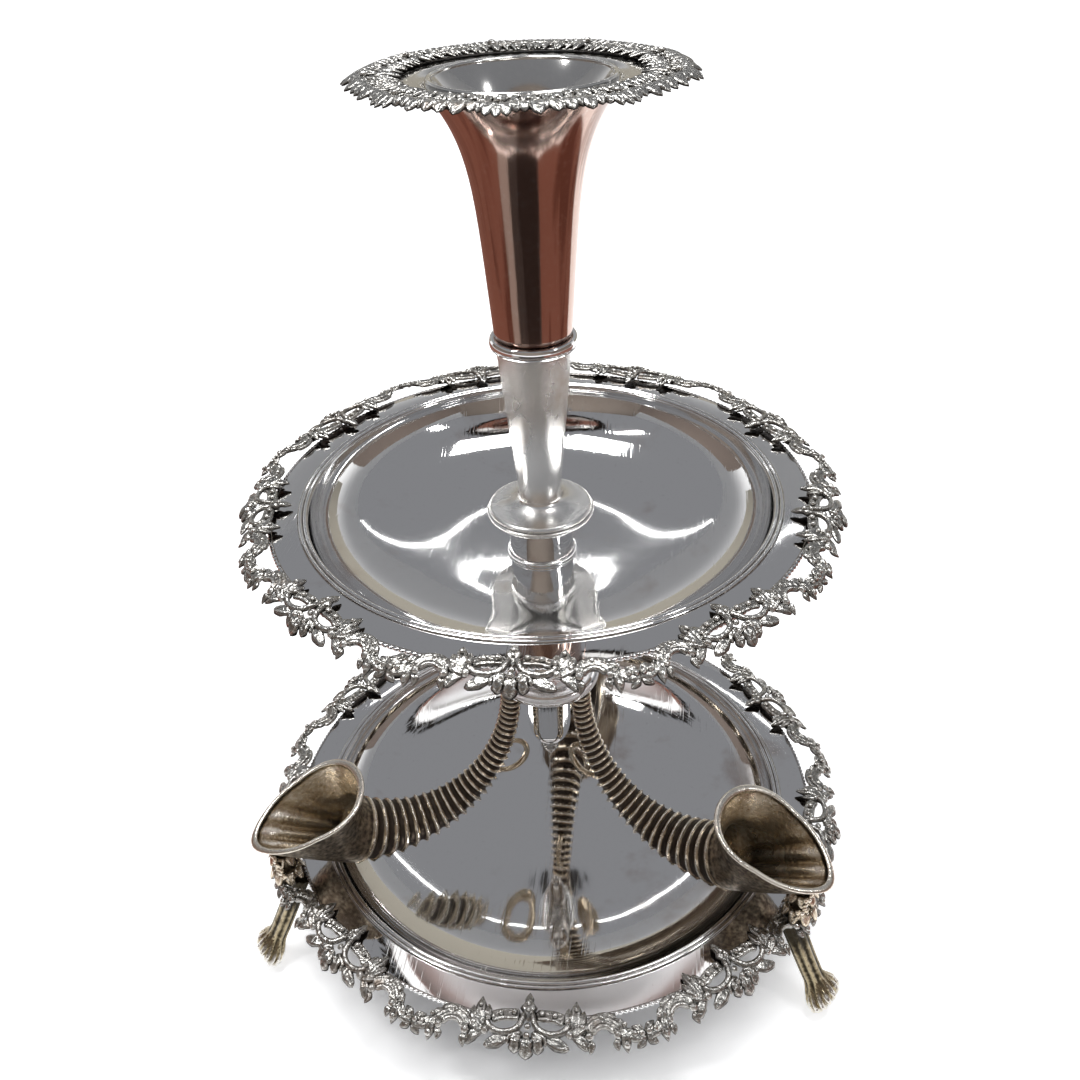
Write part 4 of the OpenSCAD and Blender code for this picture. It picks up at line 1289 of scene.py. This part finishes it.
@dataclass
class Column:
    """Turned pieces on the tie rod: hub, cup, washer, finial, stem, boss, holder and ring."""

    bore: float = 3.2
    washer_r: float = 6.2
    foot_r: float = 21.0
    neck_r: float = 7.0
    knop_r: float = 14.0
    cone_r: Pair = (9.7, 16.6)
    cone_wall: float = 1.0
    ring_r: float = 16.7

    def turned(
        self, node: str, outline: Sequence[Sequence[float]], corner: float, body: Body = Body.BASE
    ) -> None:
        """Makes one turned piece round the rod.

        Args:
            node: CAD node that it stands for.
            outline: Outer outline from bottom to top, as radius and height above the node's lowest point.
            corner: Rounding of its corners.
            body: CAD body that it rides on.
        """
        size = extent(node)
        whole = [(self.bore, 0), *outline, (self.bore, size.height)]
        profile = rounded(whole, corner, 6, True) + np.array([0, size.low])
        add_piece(node, [lathe(profile, 128, True, self.hollows(profile))], body)

    @staticmethod
    def hollows(profile: Array) -> Array:
        """Relief of a profile: low where it turns inwards, from the change of its direction."""
        way = unit(np.gradient(profile, axis=0))
        bend = np.gradient(way[:, 0]) * way[:, 1] - np.gradient(way[:, 1]) * way[:, 0]
        return np.clip(0.6 - 1.2 * bend, 0.1, 0.9)

    def hub(self) -> None:
        """Makes the hub plate and the pendant cup under it."""
        size = extent("hub_plate")
        r, t = size.radius, size.height
        self.turned("hub_plate", [
            (r - 0.2 * t, 0), (r, 0.2 * t), (r, 0.6 * t), (r - t / 3, 0.73 * t), (r - t / 2, t),
        ], 0.8)
        size = extent("hub_cup")
        flange, h = size.radius, size.height
        cup_r, core_r = flange - 2.2, 9.5
        a = np.linspace(0, math.pi / 2, 14)
        bottom = [(self.washer_r + (cup_r - self.washer_r) * math.sin(b), 15 * (1 - math.cos(b))) for b in a]
        self.turned("hub_cup", [
            *bottom, (cup_r, h - 10.6), (flange, h - 10), (flange, h - 7), (core_r, h - 7), (core_r, h),
        ], 0.7)

    def knob(self) -> None:
        """Makes the washer, the stepped finial and the tie rod."""
        h = extent("finial_washer").height
        self.turned("finial_washer", [(self.washer_r, 0), (self.washer_r, h)], 0.5, Body.WASHER)
        size = extent("finial")
        r, h = size.radius, size.height
        outline = [
            (0.2, 0), (1.2, 0.3), (1.9, 1.2), (2.0, 2.3), (2.9, 2.9), (3.5, 4), (r - 0.6, h - 5.5),
            (r - 1, h - 3.5), (r, h - 2.5), (r, h), (2.3, h),
        ]
        profile = rounded(outline, 0.5, 5) + np.array([0, size.low])
        add_piece("finial", [lathe(profile, 96, relief=self.hollows(profile))], Body.FINIAL)
        _, low, high = extent("tie_rod")
        thin, thick, thread_end = 2.2, 3.0, low + 13
        rod = [
            (0.3, low), (thin, low), (thin, thread_end), (thick, low + 13.5), (thick, high), (0.3, high),
        ]
        add_piece("tie_rod", [lathe(rounded(rod, 0.4), 48)])

    def stem(self) -> None:
        """Makes the baluster stem: a foot, a slender neck, a knop, and a trumpet up to the dish."""
        size = extent("stem")
        top_r, h = size.radius, size.height
        foot, slim = self.foot_r, self.neck_r
        q = np.linspace(0, math.pi / 2, 16)
        k = np.linspace(0, 1, 20)
        neck = np.stack([slim + (foot - 3 - slim) * (1 - np.sin(q)), 3.5 + 0.34 * h * (1 - np.cos(q))], 1)
        bulge = slim + 0.5 + (self.knop_r - slim - 0.5) * np.sin(math.pi * k)
        knop = np.stack([bulge, (0.42 + 0.16 * k) * h], 1)
        trumpet = slim + (top_r - 2 - slim) * (1 - np.cos(q))
        bell = np.stack([trumpet, 0.62 * h + (0.38 * h - 3) * np.sin(q)], 1)
        self.turned("stem", [
            (foot, 0), (foot, 2), (foot - 2, 3), *neck, *knop, *bell, (top_r, h - 2), (top_r, h),
        ], 0.5)

    def boss(self) -> None:
        """Makes the boss on the upper dish: a plain drum with a bead round its foot and one under its top."""
        size = extent("dish_boss")
        r, h = size.radius, size.height
        self.turned("dish_boss", [
            (r, 0), (r + 0.1, 0.8), (r, 1.7), (r - 1.4, 2.3), (r - 1.4, h - 2.6), (r - 0.8, h - 2),
            (r - 0.8, h - 0.9), (r - 1.4, h - 0.3), (r - 1.6, h),
        ], 0.6)

    def holder(self) -> None:
        """Makes the vase holder: a stepped foot, a domed shoulder and a long hollow cone."""
        size = extent("vase_holder")
        foot, h = size.radius, size.height
        neck, mouth = self.cone_r
        bore, floor, straight = mouth - self.cone_wall, 19, h - 5.2
        q = np.linspace(0, math.pi / 2, 18)[1:]
        dome = np.stack([neck + (foot - 3 - neck) * (1 - np.sin(q)), 4.6 + 4.9 * (1 - np.cos(q))], 1)
        outline = [
            (self.bore, 0), (foot - 0.8, 0), (foot, 0.9), (foot - 0.3, 2.0), (foot - 1.5, 2.3),
            (foot - 0.9, 3.4), (foot - 2.2, 4.6), *dome, (neck + 0.15, 11.2), (mouth, straight), (mouth, h),
            (bore, h), (bore, straight), (neck + 0.3, floor), (self.bore, floor),
        ]
        profile = rounded(outline, 0.5, 5, True) + np.array([0, size.low])
        add_piece("vase_holder", [lathe(profile, 144, True, self.hollows(profile))])

    def ring(self) -> None:
        """Makes the rolled ring round the holder's mouth."""
        size = extent("holder_ring")
        h, inner = size.height, self.ring_r
        roll = (size.radius - inner) / 2
        a = np.linspace(-math.pi / 2, math.pi / 2, 15)
        bulge = [(inner + roll + roll * math.cos(b), h / 2 + h / 2 * math.sin(b)) for b in a]
        profile = rounded([(inner, 0), *bulge, (inner, h)], 0.3, 3, True) + np.array([0, size.low])
        add_piece("holder_ring", [lathe(profile, 144, True, 0.6)])

    def build(self) -> None:
        """Makes all pieces of the column from the finial up."""
        for make in (self.knob, self.hub, self.stem, self.boss, self.holder, self.ring):
            make()


@dataclass
class TrumpetVase:
    """The lift-out vase: a sleeve in the holder, a long trumpet and a flat flange.

    Its outer, inner and edge fields are reliefs: the low one of the outside brings out the worn tone.
    """

    base_r: float = 16.9
    taper: float = 7.2
    flare: float = 15.0
    power: float = 6.0
    wall: float = 1.0
    sleeve_h: float = 62.0
    sleeve_r: float = 15.3
    mouth_h: float = 5.2
    slope: float = 0.0916
    flange_w: float = 11.5
    flange_rise: float = 1.6
    throat_r: float = 35.3
    core_r: float = 0.4
    outer: float = 0.1
    inner: float = 0.65
    edge: float = 0.95

    def radius(self, u: Array) -> Array:
        """Outer radius of the trumpet: a straight taper plus a power that flares at the mouth."""
        return self.base_r + self.taper * u + self.flare * u**self.power

    def sleeve(self) -> tuple[Array, Array]:
        """Outlines of the sleeve's outside, from its floor up, and of the well in it, from its top down."""
        wide, low, seat = self.sleeve_r, -self.sleeve_h, -self.mouth_h
        foot = wide - self.slope * (self.sleeve_h - self.mouth_h)
        outside = [(self.core_r, low), (foot, low), (wide, seat), (wide, 0), (self.base_r, 0)]
        floor = self.wall - self.sleeve_h
        well = [
            (wide - self.wall, 0), (wide - self.wall, seat), (foot - self.wall, floor), (self.core_r, floor),
        ]
        return rounded(outside, 0.4), np.array(well)

    def build(self) -> None:
        """Makes the vase as one turned wall, outside up and inside down."""
        size = extent("trumpet_vase")
        seat = size.low + self.sleeve_h
        flange_r, top = size.radius, size.high - seat
        h = top - self.flange_rise - self.wall
        u = 1 - (1 - np.linspace(0, 1, 60)) ** 1.6
        outside = np.stack([self.radius(u), h * u], 1)[1:]
        narrow = self.radius(np.ones(1))[0] - self.wall - self.throat_r + 1
        inside = np.stack([self.radius(u) - self.wall - narrow * u**self.power, (top - 0.6) * u], 1)[:0:-1]
        lip, under = flange_r - self.flange_w, top - self.wall
        flange = rounded([
            (lip, under), (flange_r, under), (flange_r, top), (lip, top), (self.throat_r + 1.2, top),
        ], 0.4)
        a = np.linspace(0, math.pi, 9)
        roll = np.stack([self.throat_r + 1.1 * np.cos(a), top - 0.1 + 0.8 * np.sin(a)], 1)
        sleeve, well = self.sleeve()
        runs = (
            (sleeve, self.outer), (outside, self.outer), (flange, self.inner), (roll, self.edge),
            (inside, self.inner), (well, self.inner),
        )
        profile = np.vstack([run for run, _ in runs]) + np.array([0, seat])
        shade = np.concatenate([np.full(len(run), relief) for run, relief in runs])
        add_piece("trumpet_vase", [lathe(profile, 192, relief=shade)], Body.VASE)


class Seen(Enum):
    """Who sees a stage sheet: everyone, or only reflections."""

    BY_ALL = "all"
    BY_METAL = "metal"


@dataclass(frozen=True)
class Board:
    """A flat studio board of one tone, given by its corners in metres."""

    name: str
    corners: tuple[Point, Point, Point, Point]
    tone: Colour


def lying(name: str, angles: Pair, radii: Pair, tone: Colour) -> Board:
    """A board that lies just over the floor, between two directions in degrees and two distances."""
    (a0, a1), (r0, r1) = np.radians(angles), radii
    ends = ((a0, r0), (a0, r1), (a1, r1), (a1, r0))
    return Board(name, tuple((r * math.cos(a), r * math.sin(a), 0.003) for a, r in ends), tone)


def standing(name: str, start: Pair, end: Pair, heights: Pair, tone: Colour) -> Board:
    """A board that stands upright over a line on the floor, between two heights."""
    (x0, y0), (x1, y1), (z0, z1) = start, end, heights
    return Board(name, ((x0, y0, z0), (x1, y1, z0), (x1, y1, z1), (x0, y0, z1)), tone)


BROWN: Colour = (0.28, 0.12, 0.085)
MAT_REACH = (0.36, 1.8)
BOARDS = (
    lying("mat_far_left", (112, 150), MAT_REACH, BROWN),
    lying("mat_left", (150, 220), MAT_REACH, BROWN),
    lying("mat_pale", (220, 240), MAT_REACH, (0.45, 0.4, 0.37)),
    lying("mat_dark", (240, 302), MAT_REACH, (0.05, 0.04, 0.037)),
    lying("mat_right", (302, 352), MAT_REACH, BROWN),
    lying("mat_far_right", (352, 395), MAT_REACH, BROWN),
    standing("room_board", (-2.0, -1.7), (2.0, -1.7), (0.3, 2.0), (0.3, 0.25, 0.21)),
    standing("left_board", (-1.9, -1.7), (-1.9, 1.0), (0.0, 1.2), (0.24, 0.19, 0.16)),
    standing("right_board", (1.9, -1.7), (1.9, 1.0), (0.0, 1.2), (0.24, 0.19, 0.16)),
    standing("far_board", (-2.2, 1.9), (2.2, 1.9), (0.0, 0.9), (0.5, 0.46, 0.38)),
)


@dataclass(frozen=True)
class Lamp:
    """A soft rectangular lamp that points at the lower part of the object.

    Attributes:
        name: Its name.
        place: Where it hangs, in metres.
        size: Its width and height, in metres.
        power: Its power, in watts.
        aim: What it points at, in metres.
    """

    name: str
    place: Point
    size: Pair
    power: float
    aim: Point = (0, 0, 0.2)

    def build(self) -> None:
        """Makes the lamp, which the camera itself doesn't see."""
        data = bpy.data.lights.new(self.name, "AREA")
        data.shape = "RECTANGLE"
        data.size, data.size_y = self.size
        data.energy = self.power
        made = linked(self.name, data)
        made.location = self.place
        made.rotation_euler = (Vector(self.aim) - Vector(self.place)).to_track_quat("-Z", "Y").to_euler()
        made.visible_camera = False


LAMPS = (
    Lamp("far_strip", (-0.08, 1.36, 1.22), (1.15, 0.016), 0.35),
    Lamp("top_left", (-0.5, 0.3, 2.4), (0.6, 0.6), 26.0),
    Lamp("top_right", (0.5, 0.2, 2.4), (0.6, 0.6), 16.0),
    Lamp("left_tube", (-1.25, -0.42, 2.45), (0.12, 0.6), 10.0),
    Lamp("right_tube", (1.23, -0.43, 1.27), (0.12, 0.3), 2.5),
)


@dataclass
class Studio:
    """Pale sweep, soft lamps, boards that the metal mirrors, and the camera.

    The floor's own light has the three strengths of top_up: under the object, where none is added so that a
    shadow is painted there, past the near ring, and what the far ring adds. Rings and heights are in metres,
    what concerns the camera in millimetres.
    """

    sweep_tone: Colour = (0.86, 0.86, 0.86)
    floor_r: float = 3.4
    wall_z: float = 3.0
    sweep_columns: int = 96
    near_ring: Pair = (0.12, 0.168)
    far_ring: Pair = (0.2, 2.2)
    top_up: tuple[float, float, float] = (0.0, 0.62, 0.25)
    mirror_fade: Pair = (0.3, 2.4)
    world_tone: Colour = (0.25, 0.255, 0.27)
    camera_at: float = 500.0
    target: Point = (-0.94, 0.0, 230.0)
    elevation: float = 34.477
    roll: float = -2.485
    turn: float = 8.0
    lens: float = 34.096
    sensor: float = 36.0

    def camera(self) -> None:
        """Makes the camera: away from its target along its elevation, rolled, then turned about Z."""
        el, ro = math.radians(self.elevation), math.radians(self.roll)
        right, up = np.array([1.0, 0, 0]), np.array([0, math.sin(el), math.cos(el)])
        back = np.array([0, -math.cos(el), math.sin(el)])
        x = math.cos(ro) * right + math.sin(ro) * up
        y = -math.sin(ro) * right + math.cos(ro) * up
        place = (np.array(self.target) + self.camera_at * back) * MM
        pose = np.eye(4)
        pose[:3] = np.stack([x, y, back, place], 1)
        data = bpy.data.cameras.new("camera")
        data.sensor_width = self.sensor
        data.lens = self.lens
        data.clip_start = 0.01
        made = linked("camera", data)
        made.matrix_world = Matrix.Rotation(math.radians(self.turn), 4, "Z") @ Matrix(pose.tolist())
        bpy.context.scene.camera = made

    def world(self) -> None:
        """Lights the scene evenly from a plain grey world."""
        world = bpy.data.worlds.new("studio")
        world.use_nodes = True
        sky = world.node_tree.nodes["Background"]
        sky.inputs["Color"].default_value = (*self.world_tone, 1)
        bpy.context.scene.world = world

    def sweep(self) -> None:
        """Makes the floor and the cove round it: a disc whose edge turns up in a quarter circle to a wall.

        Its own light reaches only rays from the camera, from gloss and through glass, and takes
        the lit floor up to white there, the more the farther the lamps are; under the object it adds none,
        which paints a shadow there. In gloss it fades up the wall.
        """
        q = np.linspace(0, math.pi / 2, 12)
        cove = np.stack([self.floor_r + np.sin(q), 1 - np.cos(q)], 1)
        profile = np.vstack([(0.01, 0), cove, (self.floor_r + 1, self.wall_z)])
        n = self.sweep_columns
        i, j = np.arange(len(profile) - 1)[:, None] * n, np.arange(n)[None, :]
        k = (j + 1) % n
        cells = np.stack([i + j, i + k, i + n + k, i + n + j], -1).reshape(-1, 4)
        mat = self.tone_material("sweep", self.sweep_tone)
        g = Graph(mat.node_tree)
        path = g.add("LightPath").outputs
        where = g.place()
        height = g.add("SeparateXYZ", {0: where}).outputs["Z"]
        mirrored = g.math("MAXIMUM", path["Is Glossy Ray"], path["Is Transmission Ray"])
        mirrored = g.math("MULTIPLY", mirrored, g.step(height, *self.mirror_fade, (1, 0)))
        rays = g.math("MAXIMUM", path["Is Camera Ray"], mirrored)
        far = g.add("VectorMath", {0: where}, operation="LENGTH").outputs["Value"]
        # No light of its own under the object: a painted shadow there.
        under, near, more = self.top_up
        strength = g.math(
            "ADD", g.step(far, *self.near_ring, (under, near)), g.step(far, *self.far_ring, (0, more))
        )
        shader = mat.node_tree.nodes["Principled BSDF"]
        shader.inputs["Emission Color"].default_value = (1, 1, 1, 1)
        g.put(shader.inputs["Emission Strength"], g.math("MULTIPLY", rays, strength))
        points = lathe(profile, n).points.reshape(-1, 3)
        self.sheet("sweep", points.tolist(), cells.tolist(), mat, Seen.BY_ALL)

    @staticmethod
    def tone_material(name: str, tone: Colour) -> bpy.types.Material:
        """A dull material of one tone."""
        mat = bpy.data.materials.new(name + "_tone")
        mat.use_nodes = True
        shader = mat.node_tree.nodes["Principled BSDF"]
        shader.inputs["Base Color"].default_value = (*tone, 1)
        shader.inputs["Roughness"].default_value = 0.9
        return mat

    @staticmethod
    def sheet(
        name: str, points: Sequence[Point], faces: Sequence[Sequence[int]], mat: bpy.types.Material,
        seen: Seen,
    ) -> None:
        """Makes one piece of the stage.

        Args:
            name: Its name.
            points: Its points, in metres.
            faces: Its faces.
            mat: Its material.
            seen: Whether the camera and shadows take part, or only reflections.
        """
        mesh = bpy.data.meshes.new(name)
        mesh.from_pydata(list(points), [], list(faces))
        mesh.materials.append(mat)
        made = linked(name, mesh)
        if seen is Seen.BY_METAL:
            made.visible_camera = False
            made.visible_diffuse = False
            made.visible_shadow = False

    def build(self) -> None:
        """Makes the stage: sweep, world, lamps, boards and camera."""
        bpy.context.scene.view_settings.view_transform = "Standard"
        self.sweep()
        self.world()
        for lamp in LAMPS:
            lamp.build()
        for board in BOARDS:
            mat = self.tone_material(board.name, board.tone)
            self.sheet(board.name, board.corners, [(0, 1, 2, 3)], mat, Seen.BY_METAL)
        self.camera()


def main() -> None:
    """Builds the epergne from the feet up, then the studio."""
    logging.basicConfig(level=logging.INFO, format="%(name)s %(message)s")
    lower = SpunDish("lower_dish", edge_r=131.0, depth=30.0)
    upper = SpunDish("upper_dish", edge_r=113.0, depth=34.5)
    lower_size, upper_size, flange = extent("lower_dish"), extent("upper_dish"), extent("trumpet_vase")
    rim_r, rim_z = lower_size.radius, lower_size.high - lower.bead_r
    upper_z = upper_size.high - upper.bead_r
    Feet(rim_r, rim_z - lower.sheet).build()
    lower.build()
    BorderRing("lower_border", rim_r, rim_z, across=1.0, rise=1.0, first=-88.3).build()
    Sprays(rim_r).build()
    Horns(rim_r, rim_z, extent("hub_plate").low).build()
    Column().build()
    upper.build()
    BorderRing("upper_border", upper_size.radius, upper_z, across=0.857, rise=0.87, first=-87.9).build()
    TrumpetVase().build()
    VaseBorder("vase_border", flange.radius, flange.high, across=1.0, rise=0.85, body=Body.VASE).build()
    Studio().build()


if __name__ == "__main__":
    main()
